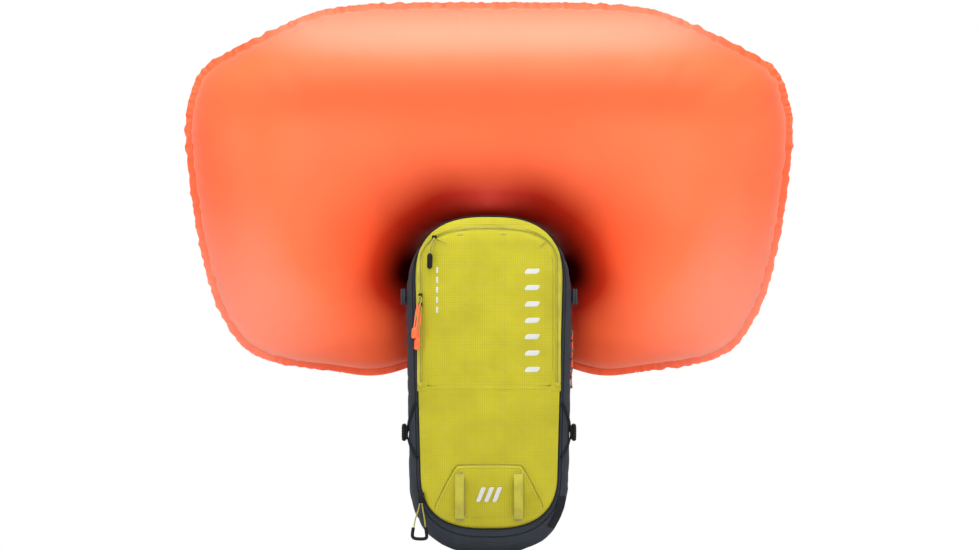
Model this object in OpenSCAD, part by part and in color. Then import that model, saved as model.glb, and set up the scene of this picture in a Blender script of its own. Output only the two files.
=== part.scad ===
// Avalanche airbag backpack, 30 litre class, with the airbag inflated.
// Millimetres. Z is up, the lime face looks along -Y, the wearer stands at +Y.
// Origin: middle of the pack's width, on the floor under the pack.

/* [Pack] */
// Height of the pack
pack_h = 580; // [500:5:660]
// Widest point of the pack
pack_w = 288; // [240:2:340]
// Depth from the front rim to the back wall
pack_d = 158; // [120:2:200]
// How far the lime face bulges in front of the rim
crown = 26; // [10:1:40]
// Wall thickness of the pack shell
wall = 3; // [2:0.5:6]

/* [Airbag] */
// Width of the inflated airbag, without its seam flange
bag_w = 1074; // [900:10:1200]
// Height of the airbag's top edge above the floor
bag_top = 958; // [850:10:1050]
// Greatest thickness of the inflated airbag
bag_depth = 300; // [200:10:360]
// Thickness of each airbag sheet
skin = 1.5; // [0.8:0.1:3]
// Width of the welded seam flange
flange = 13; // [8:1:20]

/* [Opening] */
// Width of the zip gap around the front door
zip_gap = 8; // [6:0.5:12]
// Height of the door's fabric hinge above the floor
hinge_z = 286; // [240:2:340]

/* [Blower] */
// Outer radius of the blower housing
fan_r = 46; // [36:1:50]
// Bore radius of the blower's outlet
duct_r = 18; // [14:1:22]
// Running clearance of the turning and sliding pieces
play = 0.05; // [0.02:0.01:0.1]

/* [Hidden] */
$fn = 40;

lime = "#cfc640";
slate = "#3c4149";
black = "#1c1d20";
coral = "#ff8a66";
metal = "#b8bcc2";

half_w = pack_w / 2;
back_y = pack_d / 2;
rim_y = -back_y;
face_low = 0.074 * pack_h;
face_half = half_w - 17;
face_slim = half_w - 26;
face_mid = (face_low + pack_h) / 2;
body_r = 0.26 * pack_h;
face_low_r = 0.17 * pack_h;
face_top_r = 0.19 * pack_h;
base_cut = 5;
round_d = 0.22 * pack_d;

door_half = face_half - zip_gap - 5;
door_top = pack_h - 24;
sheet_t = 2;
cord_r = 1.4;

bag_half = bag_w / 2;
bag_y = back_y + 45;
bag_foot = 0.55 * pack_h;
neck_z = pack_h - 8;
neck_half = 0.47 * pack_w;

duct_y = back_y - 34;
fan_z = pack_h - 90;
fan_front = back_y - 55;
fan_back = back_y - 13;
fan_wall = 2;
cradle_y = fan_back + 2;
box_top = fan_z - fan_r - 6;
box_h = 52;
box_w = 100;
box_y = fan_front + 16;
strap_x = 58;
strap_y = back_y + 12;
strap_z = 525;
hip_z = 120;

// ---------- helpers ----------

function mix(a, b, f) = a + (b - a) * f;
function power(v, e) = sign(v) * pow(abs(v), e);
function unit(v) = v / norm(v);
function middle(ring) = [0, (min([for (p = ring) p.y]) + max([for (p = ring) p.y])) / 2];

// Rounded outline in width and height, bottom centre first, anticlockwise from the front.
function outline(w_low, w_high, z_low, z_high, r_low, r_high, n = 2.6, steps = 7) =
    let (
        low = [for (i = [0:steps]) let (a = 90 - 90 * i / steps)
            [w_low * pow(cos(a), 2 / n), z_low + r_low * (1 - pow(sin(a), 2 / n))]],
        high = [for (i = [0:steps]) let (a = 90 * i / steps)
            [w_high * pow(cos(a), 2 / n), z_high - r_high * (1 - pow(sin(a), 2 / n))]],
        side = [for (i = [1:4]) mix(low[steps], high[0], i / 5)],
        right = concat(low, side, high)
    )
    concat(right, [for (i = [len(right) - 2:-1:1]) [-right[i].x, right[i].y]]);

// The pack's outline, f = 0 at the front rim and 1 at full width, shrunk by d.
// The full-width rings are cut off at the floor, which leaves a flat base to stand on.
function pack_ring(f, d = 0) =
    let (ring = outline(
        mix(face_slim, half_w - 5, f) - d, mix(face_half, half_w, f) - d,
        mix(face_low, -base_cut, f) + d, pack_h - mix(0, 3, f) - d,
        mix(face_low_r, body_r, f) - d, mix(face_top_r, body_r, f) - d
    ))
    [for (p = ring) [p.x, max(p.y, max(d, 0))]];
function face_ring(d = 0) =
    outline(
        face_slim - d, face_half - d, face_low + d, pack_h - d, face_low_r - d, face_top_r - d
    );
function door_ring(d = 0) =
    outline(door_half + d, door_half + d, hinge_z - 0.15 * d, door_top + d, 10, 60 + d);

function front_y(x, z) =
    rim_y - crown * (1 - pow(min(1, abs(x) / face_half), 4))
        * (1 - pow(min(1, abs(z - face_mid) / (pack_h - face_mid)), 4));
function on_face(ring, lift) = [for (p = ring) [p.x, front_y(p.x, p.y) - lift, p.y]];
function at_depth(ring, y) = [for (p = ring) [p.x, y, p.y]];
function shrunk(ring, k, c) = [for (p = ring) c + k * (p - c)];
function reach(z) =
    let (
        low = mix(half_w - 5, half_w, min(1, max(0, (z - 146) / 280))),
        low_u = (body_r - base_cut - z) / body_r,
        top_u = (z - pack_h + 3 + body_r) / body_r,
        u = max(0, low_u, top_u)
    )
    low * pow(1 - pow(u, 2.6), 1 / 2.6);

// Solid skinned over rings of points; rings run front to back, or around when closed.
// From point `flip` of each ring on, the squares are split along their other diagonal.
module loft(rings, closed = false, flip = 1e6) {
    n = len(rings[0]);
    m = len(rings);
    walls = [for (j = [0:closed ? m - 1 : m - 2]) for (i = [0:n - 1])
        let (k = (i + 1) % n, l = (j + 1) % m, a = j * n + i, b = j * n + k, c = l * n + k, d = l * n + i)
        each i < flip ? [[a, b, c], [a, c, d]] : [[a, b, d], [b, c, d]]];
    caps = closed ? [] : [[for (i = [n - 1:-1:0]) i], [for (i = [0:n - 1]) (m - 1) * n + i]];
    polyhedron([for (ring = rings) each ring], concat(walls, caps), convexity = 8);
}

// Fabric sheet lying on the bulging front face.
module sheet(ring, thick, lift = 0) {
    c = middle(ring);
    grow = [0.04, 0.45, 0.75, 0.92, 1];
    loft(concat(
        [for (k = grow) on_face(shrunk(ring, k, c), lift + thick)],
        [for (i = [len(grow) - 1:-1:0]) on_face(shrunk(ring, grow[i], c), lift)]
    ));
}

// Band lying on the front face along a path of [x, z] points.
module trim(path, width, thick, lift = 0) {
    last = len(path) - 1;
    rings = [for (i = [0:last])
        let (
            dir = unit(path[min(last, i + 1)] - path[max(0, i - 1)]),
            side = [-dir.y, dir.x] * width / 2,
            edge = [path[i] + side, path[i] - side]
        )
        concat(on_face(edge, lift), on_face([edge[1], edge[0]], lift + thick))];
    loft(rings);
}

// Strip of given width and thickness along 3D points; across is the width direction.
module strip(path, across, width, thick) {
    last = len(path) - 1;
    rings = [for (i = [0:last])
        let (
            dir = unit(path[min(last, i + 1)] - path[max(0, i - 1)]),
            side = unit(across - (across * dir) * dir) * width[min(i, len(width) - 1)] / 2,
            up = unit(cross(dir, side)) * thick / 2
        )
        [path[i] + side + up, path[i] + side - up, path[i] - side - up, path[i] - side + up]];
    loft(rings);
}

// Cord along 3D points.
module cord(path, r, sides = 8) {
    last = len(path) - 1;
    rings = [for (i = [0:last])
        let (
            dir = unit(path[min(last, i + 1)] - path[max(0, i - 1)]),
            side = unit(cross(dir, abs(dir.x) > 0.9 ? [0, 0, 1] : [1, 0, 0])),
            up = cross(dir, side)
        )
        [for (k = [0:sides - 1]) path[i] + r * (cos(-k * 360 / sides) * side
            + sin(-k * 360 / sides) * up)]];
    loft(rings);
}

module tube(r_out, r_in, h) {
    difference() {
        cylinder(r = r_out, h = h);
        translate([0, 0, -1]) cylinder(r = r_in, h = h + 2);
    }
}

// Turns a shape built along Z so it runs along +Y from the given point.
module along_y(at) {
    translate(at) rotate([-90, 0, 0]) children();
}

module block(from, to) {
    translate(from) cube(to - from);
}

module soft_block(from, to, r = 5) {
    hull() {
        for (x = [from.x + r, to.x - r], y = [from.y + r, to.y - r], z = [from.z + r, to.z - r]) {
            translate([x, y, z]) sphere(r = r, $fn = 12);
        }
    }
}

module both() {
    children();
    mirror([1, 0, 0]) children();
}

// ---------- pack body ----------

module pack_shell() {
    front = [0, 0.15, 0.45, 1];
    depth = [for (f = front) rim_y + 1 + round_d * (1 - sqrt(1 - f * f))];
    color(slate) difference() {
        loft(concat(
            [at_depth(pack_ring(0.55, wall), back_y - wall)],
            [at_depth(pack_ring(1, wall), back_y - round_d)],
            [for (i = [3:-1:0]) at_depth(pack_ring(front[i], wall), depth[i])],
            [for (i = [0:3]) at_depth(pack_ring(front[i]), depth[i])],
            [at_depth(pack_ring(1), back_y - round_d)],
            [at_depth(pack_ring(0.85), back_y - 5)],
            [at_depth(pack_ring(0.6), back_y)]
        ));
        translate([0, duct_y, fan_z]) cylinder(r = duct_r + 4, h = 200);
    }
}

module front_panel() {
    hole = door_ring(zip_gap);
    edge = face_ring(0);
    color(lime) loft([
        on_face(hole, 0), on_face(hole, sheet_t),
        on_face(edge, sheet_t), on_face(edge, 0)
    ], closed = true);
}

module front_door() {
    color(lime) sheet(door_ring(), sheet_t);
}

module lower_pocket() {
    foot = 0.12 * pack_h;
    top = 0.266 * pack_h;
    right = [
        [0, foot - 8], [50, foot - 6], [86, foot], [93, foot + 6], [90, foot + 18],
        [74, mix(foot, top, 0.6)], [60, top - 8], [54, top - 1], [30, top], [0, top]
    ];
    ring = concat(right, [for (i = [len(right) - 2:-1:1]) [-right[i].x, right[i].y]]);
    color(lime) sheet(ring, 6, sheet_t + 0.8);
}

module tool_loops() {
    x = 50;
    low = 0.1 * pack_h;
    high = 0.248 * pack_h;
    lift = sheet_t + 8.5;
    path = [for (i = [0:8]) let (z = mix(low, high, i / 8))
        [x, front_y(x, z) - lift - 6 * sin(i * 22.5), z]];
    color(lime) both() strip(path, [1, 0, 0], [16], 1.6);
}

// ---------- zips ----------

module main_zip_tape() {
    x = door_half + zip_gap / 2;
    path = [for (i = [0:8]) [x, mix(hinge_z + 12, door_top - 68, i / 8)]];
    color(black) both() trim(path, zip_gap - 1.6, 1.2, 0.4);
}

module top_zip_tape() {
    ring = door_ring(zip_gap / 2);
    path = [for (p = ring) if (p.y > door_top - 62) p];
    color(black) trim(path, zip_gap - 1.6, 1.2, 0.4);
}

// Slider body straddling the zip tape at a place on the front face.
module slider(x, z, w = 6, h = 9) {
    y = front_y(x, z) - 4.2;
    block([x - w / 2, y - 4, z - h / 2], [x + w / 2, y, z + h / 2]);
}

main_x = -(door_half + zip_gap / 2);
upper_z = 0.765 * pack_h;
lower_z = 0.738 * pack_h;

module main_slider_upper() {
    color(black) slider(main_x, upper_z);
}

module main_slider_lower() {
    color(black) slider(main_x, lower_z);
}

// Cord loop with a moulded grip, hanging from a slider.
module hanging_pull(x, z, drop, lift, colour, grip = [10, 18], lean = -8) {
    y = front_y(x, z) - lift;
    root = front_y(x, z) - 8.3 - cord_r;
    color(colour) {
        cord([
            [x, root, z], [x + lean * 0.15, mix(root, y, 0.8), z - 7],
            [x + lean * 0.5, y, z - drop * 0.5], [x + lean, y, z - drop]
        ], cord_r);
        soft_block([x + lean - grip.x / 2, y - 3, z - drop - grip.y], [
            x + lean + grip.x / 2, y + 3, z - drop + 1
        ], 2.5);
    }
}

module main_pull_upper() {
    hanging_pull(main_x, upper_z - 1, 54, 20.5, coral, lean = -9);
}

module main_pull_lower() {
    hanging_pull(main_x, lower_z - 1, 58, 12.5, coral, lean = -5);
}

top_x = -0.74 * face_half;
top_z = door_top - 13;

module top_slider() {
    color(black) slider(top_x, top_z + 2, 8, 6);
}

module top_pull() {
    hanging_pull(top_x, top_z - 1, 26, 14.5, black, [9, 26], -7);
}

corner_x = -0.92 * face_half;
corner_z = 0.185 * pack_h;

// Leash at the lower left corner: slider, cord and a bent tube handle.
module corner_pull() {
    y = rim_y - 13;
    legs = [
        [corner_x - 14, corner_z - 78], [corner_x - 12, corner_z - 64], [corner_x - 2, corner_z - 22],
        [corner_x + 2, corner_z - 22], [corner_x + 8, corner_z - 64], [corner_x + 10, corner_z - 78],
        [corner_x - 2, corner_z - 81]
    ];
    color(black) {
        soft_block([corner_x - 5, y - 4, corner_z - 20], [corner_x + 5, y + 4, corner_z], 2.5);
        cord([for (p = [legs[2], legs[1], legs[0]]) [p.x, y, p.y]], 2);
        cord([for (p = [legs[3], legs[4], legs[5]]) [p.x, y, p.y]], 2);
        cord([for (p = [legs[0], legs[6], legs[5]]) [p.x, y, p.y]], 3);
    }
}

// ---------- side straps ----------

module side_strap(z, drop) {
    path = [for (i = [0:6]) let (f = i / 6, h = z + drop * f)
        [reach(h) + 2, mix(rim_y + round_d + 6, back_y - round_d, f), h]];
    strip(path, [0, 0, 1], [15], 1.6);
}

module side_straps_upper() {
    color(slate) both() side_strap(0.762 * pack_h, -10);
}

module side_straps_lower() {
    color(slate) both() side_strap(0.357 * pack_h, 8);
}

module side_buckle(z, h, w) {
    x = reach(z) + 1;
    y = rim_y + round_d - 4;
    soft_block([x, y - 12, z - h / 2], [x + w, y + 6, z + h / 2], 3);
}

module upper_buckles() {
    color(slate) both() side_buckle(0.762 * pack_h, 28, 8);
}

module lower_buckles() {
    color(black) both() side_buckle(0.357 * pack_h, 30, 10);
}

module side_cord() {
    low = 0.49 * pack_h;
    path = [for (i = [0:6]) let (z = low + i * 16)
        [reach(z) + 2.6, i % 2 == 0 ? -22 : 8, z]];
    color(coral) cord(path, cord_r);
}

// ---------- back system ----------

module back_plate(inset, y, thick) {
    ring = pack_ring(0.6, inset);
    translate([0, y + thick, 0]) rotate([90, 0, 0]) linear_extrude(thick) polygon(ring);
}

module frame_sheet() {
    color("#e8e8e4") back_plate(14, back_y - wall - 2.2, 2);
}

module frame_stay() {
    y = back_y - wall - 5;
    color(metal) both() block([76, y, 70], [96, y + 2.6, pack_h - 78]);
}

module back_panel() {
    color(slate) back_plate(10, back_y + 0.2, 6);
}

module back_pads() {
    y = back_y + 6.6;
    color(slate) both() soft_block([22, y, 0.48 * pack_h], [98, y + 12, 0.84 * pack_h], 6);
}

module lumbar_pad() {
    y = back_y + 6.6;
    color(slate) soft_block([-84, y, 0.12 * pack_h], [84, y + 18, 0.33 * pack_h], 8);
}

module shoulder_yoke() {
    y = back_y + 6.6;
    color(slate) block([-92, y, strap_z - 26], [92, y + 4, strap_z + 20]);
}

module carry_handle() {
    y = back_y + 19;
    path = [for (i = [0:8]) [42 * cos(180 - i * 22.5), y, strap_z + 16 + 30 * sin(i * 22.5)]];
    color(black) strip(path, [0, 1, 0], [14], 3);
}

strap_curve = [
    [0, 0, 4], [0, 16, 4], [-4, 38, -14], [-6, 54, -50], [-5, 58, -110],
    [0, 54, -180], [8, 44, -240], [14, 32, -290]
];
strap_widths = [62, 62, 60, 58, 54, 50, 46, 40];

module shoulder_strap() {
    path = [for (p = strap_curve) [strap_x + p.x, strap_y + p.y, strap_z + p.z]];
    color(slate) strip(path, [1, 0, 0], strap_widths, 11);
}

module shoulder_strap_right() {
    shoulder_strap();
}

module shoulder_strap_left() {
    mirror([1, 0, 0]) shoulder_strap();
}

module strap_webbing() {
    foot = strap_curve[len(strap_curve) - 1];
    start = [strap_x + foot.x, strap_y + foot.y - 2, strap_z + foot.z - 6];
    path = [start, start + [1, -4, -30], start + [2, -10, -70], start + [3, -13, -100]];
    color(black) {
        strip(path, [1, 0, 0], [24], 2);
        soft_block(start + [-16, -9, -40], start + [18, -5.6, -14], 1.6);
    }
}

module webbing_right() {
    strap_webbing();
}

module webbing_left() {
    mirror([1, 0, 0]) strap_webbing();
}

sternum_z = strap_z - 60;
sternum_y = strap_y + 64;

module sternum_half(buckle) {
    path = [for (f = [0:0.25:1]) [mix(strap_x + 18, buckle + 9, f), sternum_y + 5.3, sternum_z]];
    color(black) {
        strip(path, [0, 0, 1], [20], 2);
        soft_block([buckle - 4, sternum_y + 1, sternum_z - 14], [
            buckle + 18, sternum_y + 10, sternum_z + 14
        ], 3);
    }
}

module sternum_right() {
    sternum_half(8);
}

module sternum_left() {
    mirror([1, 0, 0]) sternum_half(8);
}

wing_curve = [[98, 16], [112, 34], [124, 64], [130, 110], [128, 160], [118, 210]];

module hip_wing() {
    path = [for (p = wing_curve) [p.x, back_y + p.y, hip_z]];
    color(slate) strip(path, [0, 0, 1], [96, 100, 96, 84, 68, 52], 11);
}

module hip_wing_right() {
    hip_wing();
}

module hip_wing_left() {
    mirror([1, 0, 0]) hip_wing();
}

module hip_buckle_half(x) {
    tip = [wing_curve[5].x - 12, back_y + wing_curve[5].y + 2, hip_z];
    end = [x, back_y + 236, hip_z];
    color(black) {
        strip([tip, mix(tip, end, 0.3) + [6, 8, 0], mix(tip, end, 0.75) + [0, 2, 0], end],
            [0, 0, 1], [36], 2);
        soft_block(end - [8, 6, 25], end + [24, 8, 25], 4);
    }
}

module hip_buckle_right() {
    hip_buckle_half(14);
}

module hip_buckle_left() {
    mirror([1, 0, 0]) hip_buckle_half(14);
}

// ---------- airbag ----------

// Outer edge of the right half, foot to crest, as shares of the bag's size.
bag_edge = [
    [0.52, 0.00], [0.72, 0.02], [0.83, 0.07], [0.90, 0.18], [0.945, 0.32],
    [0.975, 0.46], [1.00, 0.64], [0.985, 0.74], [0.95, 0.82], [0.80, 0.90],
    [0.58, 0.985], [0.50, 1.00], [0.33, 1.00], [0.16, 1.00], [0, 1.00]
];
neck_edge = [
    [1.00, 0.00], [1.00, 0.10], [1.00, 0.20], [1.00, 0.32], [1.00, 0.44],
    [0.99, 0.56], [0.98, 0.68], [0.95, 0.78], [0.89, 0.86], [0.78, 0.92],
    [0.63, 0.96], [0.47, 0.985], [0.31, 1.00], [0.15, 1.00], [0, 1.00]
];

function bag_out(i) = [bag_edge[i].x * bag_half, mix(bag_foot, bag_top, bag_edge[i].y)]
    - (i == 0 ? [0, 14] : [0, 0]);
function bag_in(i) = [neck_edge[i].x * neck_half, mix(bag_foot, neck_z, neck_edge[i].y)];

across_at = [-1, -0.93, -0.78, -0.55, -0.25, 0.1, 0.4, 0.65, 0.83, 0.95, 1];
puff = [0, 0.42, 0.66, 0.84, 0.94, 0.985, 1];

// Height of the pillow over its seam plane: along the arch and across it.
function rise(i, t) = bag_depth / 2 * (i < len(puff) ? puff[i] : 1) * pow(1 - t * t, 0.6);

// One fabric section: flange, pillow, flange; side is -1 for the front and 1 for the back sheet.
function bag_section(i, side) =
    let (
        a = bag_in(i),
        b = bag_out(i),
        rim = flange * unit(b - a),
        spots = concat([a - rim], [for (t = across_at) mix(a, b, (1 + t) / 2)], [b + rim]),
        lifts = concat([0], [for (t = across_at) rise(i, t)], [0]),
        n = len(spots) - 1
    )
    concat(
        [for (k = [0:n]) [spots[k].x, bag_y + side * (lifts[k] + 0.1), spots[k].y]],
        [for (k = [n:-1:0]) [spots[k].x, bag_y + side * (lifts[k] + 0.1 + skin), spots[k].y]]
    );

module airbag_sheet(side) {
    last = len(bag_edge) - 1;
    right = [for (i = [0:last]) bag_section(i, side)];
    foot = [for (p = right[0]) [p.x, bag_y + side * (abs(p.y - bag_y) > skin / 2 + 0.1
        ? skin + 0.1 : 0.1), p.z - flange]];
    arch = concat([foot], right, [for (i = [last - 1:-1:0]) [for (p = right[i]) [-p.x, p.y, p.z]]],
        [[for (p = foot) [-p.x, p.y, p.z]]]);
    turned = [for (ring = arch) [for (k = [len(ring) - 1:-1:0]) ring[k]]];
    loft(side < 0 ? arch : turned, flip = len(arch[0]) / 2);
}

module airbag_front() {
    color(coral) difference() {
        airbag_sheet(-1);
        translate([0, duct_y, pack_h]) cylinder(r = duct_r + 3.6, h = 80);
    }
}

module airbag_back() {
    color(coral) airbag_sheet(1);
}

module bay_flaps() {
    ring = [for (p = pack_ring(0.95, -3)) if (p.x > 46 && p.y > pack_h - 70) [p.x, back_y - 22, p.y]];
    color(black) both() strip(ring, [0, 1, 0], [26], 1.5);
}

// ---------- blower and valve ----------

module inlet_collar() {
    color(black) translate([0, duct_y, pack_h + 2]) {
        tube(duct_r + 3, duct_r, 58);
        translate([0, 0, 58]) tube(duct_r + 6, duct_r, 3);
    }
}

module collar_clamp() {
    color(metal) translate([0, duct_y, pack_h + 2.5]) tube(duct_r + 6, duct_r + 3.1, 6);
}

module fan_housing() {
    depth = fan_back - fan_front;
    color("#2a2c30") difference() {
        union() {
            along_y([0, fan_front, fan_z]) cylinder(r = fan_r, h = depth, $fn = 72);
            translate([0, duct_y, fan_z + 30]) cylinder(r = duct_r + 2, h = pack_h - fan_z - 29);
        }
        along_y([0, fan_front + fan_wall, fan_z])
            cylinder(r = fan_r - fan_wall, h = depth - 2 * fan_wall, $fn = 72);
        along_y([0, fan_front - 1, fan_z]) cylinder(r = 22, h = 4);
        translate([0, duct_y, fan_z + 20]) cylinder(r = duct_r, h = 200);
    }
}

module inlet_grille() {
    color(metal) along_y([0, fan_front - 3.1, fan_z]) {
        tube(27, 22, 3);
        tube(13, 11, 3);
        for (a = [0:60:359]) {
            rotate(a) translate([12, -1, 0]) cube([11, 2, 3]);
        }
    }
}

module impeller() {
    color("#d8d8d4") along_y([0, fan_front + 8, fan_z]) {
        tube(6, 1.5 + play, 12);
        translate([0, 0, 12]) tube(38, 1.5 + play, 2);
        for (a = [0:40:359]) {
            rotate(a) translate([16, -0.8, 0]) cube([21, 1.6, 12.5]);
        }
    }
}

module motor() {
    color(metal) along_y([0, fan_front, fan_z]) {
        translate([0, 0, 24]) cylinder(r = 13, h = fan_back - fan_front - fan_wall - 24 - play);
        translate([0, 0, 5]) cylinder(r = 1.5, h = 20);
    }
}

valve_z = pack_h + 8;

module valve_seat() {
    color("#2a2c30") translate([0, duct_y, valve_z]) {
        tube(duct_r - 0.05, duct_r - 5, 3);
        tube(5, 2 + play, 3);
        for (a = [0:120:359]) {
            rotate(a) translate([4, -1, 0]) cube([duct_r - 8, 2, 3]);
        }
    }
}

module check_valve() {
    color(coral) translate([0, duct_y, valve_z]) {
        translate([0, 0, 3.02]) cylinder(r = duct_r - 2.5, h = 2);
        translate([0, 0, -12]) cylinder(r = 2, h = 16);
        translate([0, 0, -14]) cylinder(r = 3.4, h = 2);
    }
}

// ---------- control box ----------

module control_box() {
    low = [-box_w / 2, box_y, box_top - box_h];
    high = [box_w / 2, fan_back, box_top];
    color("#2a2c30") difference() {
        block(low, high);
        block(low + [2, -1, 2], high - [2, 2, 2]);
    }
}

module control_lid() {
    color("#2a2c30") difference() {
        block([-box_w / 2, box_y - 3, box_top - box_h], [box_w / 2, box_y - 0.05, box_top]);
        button_hole(power_x, 5);
        button_hole(deflate_x, 4);
    }
}

power_x = 38;
deflate_x = 20;

module button_hole(x, r) {
    along_y([x, box_y - 4, box_top - 12]) cylinder(r = r + play, h = 6);
}

module push_button(x, r) {
    along_y([x, box_y - 5, box_top - 12]) {
        cylinder(r = r, h = 7);
        translate([0, 0, 5.02]) cylinder(r = r + 1, h = 2);
    }
}

module power_button() {
    color(coral) push_button(power_x, 5);
}

module deflation_button() {
    color("#d8d8d4") push_button(deflate_x, 4);
}

module control_board() {
    y = fan_back - 5;
    color("#2f6b3a") block([-46, y, box_top - box_h + 4], [46, y + 1.6, box_top - 4]);
}

module cell_pair(x, gap, r, h) {
    for (k = [0, 1]) {
        translate([x + k * gap, fan_back - 6 - r, box_top - box_h + 3]) cylinder(r = r, h = h);
    }
}

module capacitors() {
    color("#3a5a9a") cell_pair(-35, 21, 9.5, 40);
}

module battery_cells() {
    color(metal) cell_pair(14, 16, 7, 46);
}

screw_x = box_w / 2 + 5;
screw_z = [box_top - box_h + 6, fan_z + 38];

module cradle_plate() {
    color("#2a2c30") difference() {
        block([-screw_x - 6, cradle_y - 1.9, screw_z[0] - 8], [
            screw_x + 6, cradle_y + 0.5, screw_z[1] + 8
        ]);
        for (x = [-screw_x, screw_x], z = screw_z) {
            along_y([x, cradle_y - 3, z]) cylinder(r = 1.6, h = 8);
        }
    }
}

module cradle_screws() {
    color(metal) for (x = [-screw_x, screw_x], z = screw_z) {
        along_y([x, cradle_y - 4, z]) {
            cylinder(r = 2.8, h = 2);
            cylinder(r = 1.5, h = 6);
        }
    }
}

// ---------- trigger ----------

trigger_top = strap_z - 90;
trigger_y = strap_y + 74;

module trigger_housing() {
    color(black) difference() {
        soft_block([-strap_x - 11, trigger_y - 8, trigger_top - 44], [
            -strap_x + 11, trigger_y + 12, trigger_top
        ], 4);
        translate([-strap_x, trigger_y + 2, trigger_top - 60]) cylinder(r = 2.5 + play, h = 44);
    }
}

module trigger_handle() {
    color(coral) translate([-strap_x, trigger_y + 2, trigger_top - 44]) {
        translate([0, 0, -20]) cylinder(r = 2.5, h = 46);
        translate([0, 0, -62]) cylinder(r = 8, h = 44);
    }
}

module trigger_cable() {
    y = trigger_y + 2;
    path = [
        [-strap_x, y, trigger_top + 1], [-strap_x, y + 1, trigger_top + 40],
        [-strap_x, y - 12, strap_z - 8], [-strap_x, y - 34, strap_z + 12],
        [-strap_x, y - 52, strap_z + 16]
    ];
    color(black) cord(path, 2.5);
}

pack_shell();
front_panel();
front_door();
lower_pocket();
tool_loops();
main_zip_tape();
top_zip_tape();
main_slider_upper();
main_slider_lower();
main_pull_upper();
main_pull_lower();
top_slider();
top_pull();
corner_pull();
side_straps_upper();
side_straps_lower();
upper_buckles();
lower_buckles();
side_cord();
frame_sheet();
frame_stay();
back_panel();
back_pads();
lumbar_pad();
shoulder_yoke();
carry_handle();
shoulder_strap_left();
shoulder_strap_right();
webbing_left();
webbing_right();
sternum_left();
sternum_right();
hip_wing_left();
hip_wing_right();
hip_buckle_left();
hip_buckle_right();
airbag_front();
airbag_back();
bay_flaps();
inlet_collar();
collar_clamp();
fan_housing();
inlet_grille();
impeller();
motor();
valve_seat();
check_valve();
control_box();
control_lid();
control_board();
capacitors();
battery_cells();
power_button();
deflation_button();
cradle_plate();
cradle_screws();
trigger_housing();
trigger_handle();
trigger_cable();
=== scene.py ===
import math

import bpy
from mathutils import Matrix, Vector, noise


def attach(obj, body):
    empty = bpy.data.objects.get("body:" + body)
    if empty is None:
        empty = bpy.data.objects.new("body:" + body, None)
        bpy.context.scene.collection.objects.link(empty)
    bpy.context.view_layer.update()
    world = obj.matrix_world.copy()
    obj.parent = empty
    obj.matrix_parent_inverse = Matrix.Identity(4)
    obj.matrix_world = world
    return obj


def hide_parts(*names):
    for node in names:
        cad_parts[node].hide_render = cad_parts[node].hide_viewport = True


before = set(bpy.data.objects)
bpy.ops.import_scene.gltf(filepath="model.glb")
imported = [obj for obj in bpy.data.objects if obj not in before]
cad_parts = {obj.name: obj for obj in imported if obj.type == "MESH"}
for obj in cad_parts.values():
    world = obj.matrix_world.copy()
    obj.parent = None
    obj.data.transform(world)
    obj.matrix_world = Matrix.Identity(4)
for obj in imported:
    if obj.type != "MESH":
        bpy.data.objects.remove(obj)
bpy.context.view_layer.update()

MM = 0.001
SIDES = ((-1, "left"), (1, "right"))
ALONG_X = (1, 0, 0)
ALONG_Y = (0, 1, 0)
ALONG_Z = (0, 0, 1)

# Driving sizes, in millimetres, the same as the part's source; two radii are rounded.
PACK_H = 580
HALF_W = 144
BACK_Y = 79
RIM_Y = -BACK_Y
CROWN = 26
ROUND_D = 35
BODY_R = 151
BASE_CUT = 5
CURVE_POWER = 2.6
FACE_LOW = 0.074 * PACK_H
FACE_HALF = HALF_W - 17
FACE_SLIM = HALF_W - 26
FACE_MID = (FACE_LOW + PACK_H) / 2
FACE_LOW_R = 0.17 * PACK_H
FACE_TOP_R = 0.19 * PACK_H
ZIP_GAP = 8
DOOR_HALF = FACE_HALF - ZIP_GAP - 5
DOOR_TOP = PACK_H - 24
HINGE_Z = 286
SHEET = 2
UPPER_STRAP_Z = 0.762 * PACK_H
LOWER_STRAP_Z = 0.357 * PACK_H

BAG_HALF = 537
BAG_TOP = 958
BAG_FOOT = 0.55 * PACK_H
BAG_Y = BACK_Y + 45
BAG_DEPTH = 150
FLANGE = 13
NECK_Z = PACK_H - 8
NECK_HALF = 0.94 * HALF_W

STRAP_X = 58
STRAP_Y = BACK_Y + 12
STRAP_Z = 525
HIP_Z = 120

# How far the lime cloth stands off its CAD sheet.
CLOTH = 1.2


# ---------- small maths ----------

def mix(a, b, f):
    return a + (b - a) * f


def mix_point(a, b, f):
    return tuple(mix(p, q, f) for p, q in zip(a, b))


def moved(p, step):
    return tuple(a + b for a, b in zip(p, step))


def clamp(v, low=0.0, high=1.0):
    return max(low, min(high, v))


def smooth(v):
    v = clamp(v)
    return v * v * (3 - 2 * v)


def bump(v, centre, width):
    return math.exp(-((v - centre) / width) ** 2)


def grain(x, y, z, scale, seed=0.0):
    """Smooth noise between about -1 and 1; scale is the size of its features in mm."""
    return noise.noise(Vector((x / scale + seed, y / scale - seed, z / scale + 2 * seed)))


def shares(steps):
    """Evenly spaced values from 0 to 1."""
    return [i / steps for i in range(steps + 1)]


def between(stops, f):
    """Value at a share f of evenly spaced stops."""
    at = clamp(f) * (len(stops) - 1)
    k = min(int(at), len(stops) - 2)
    return mix(stops[k], stops[k + 1], at - k)


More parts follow.
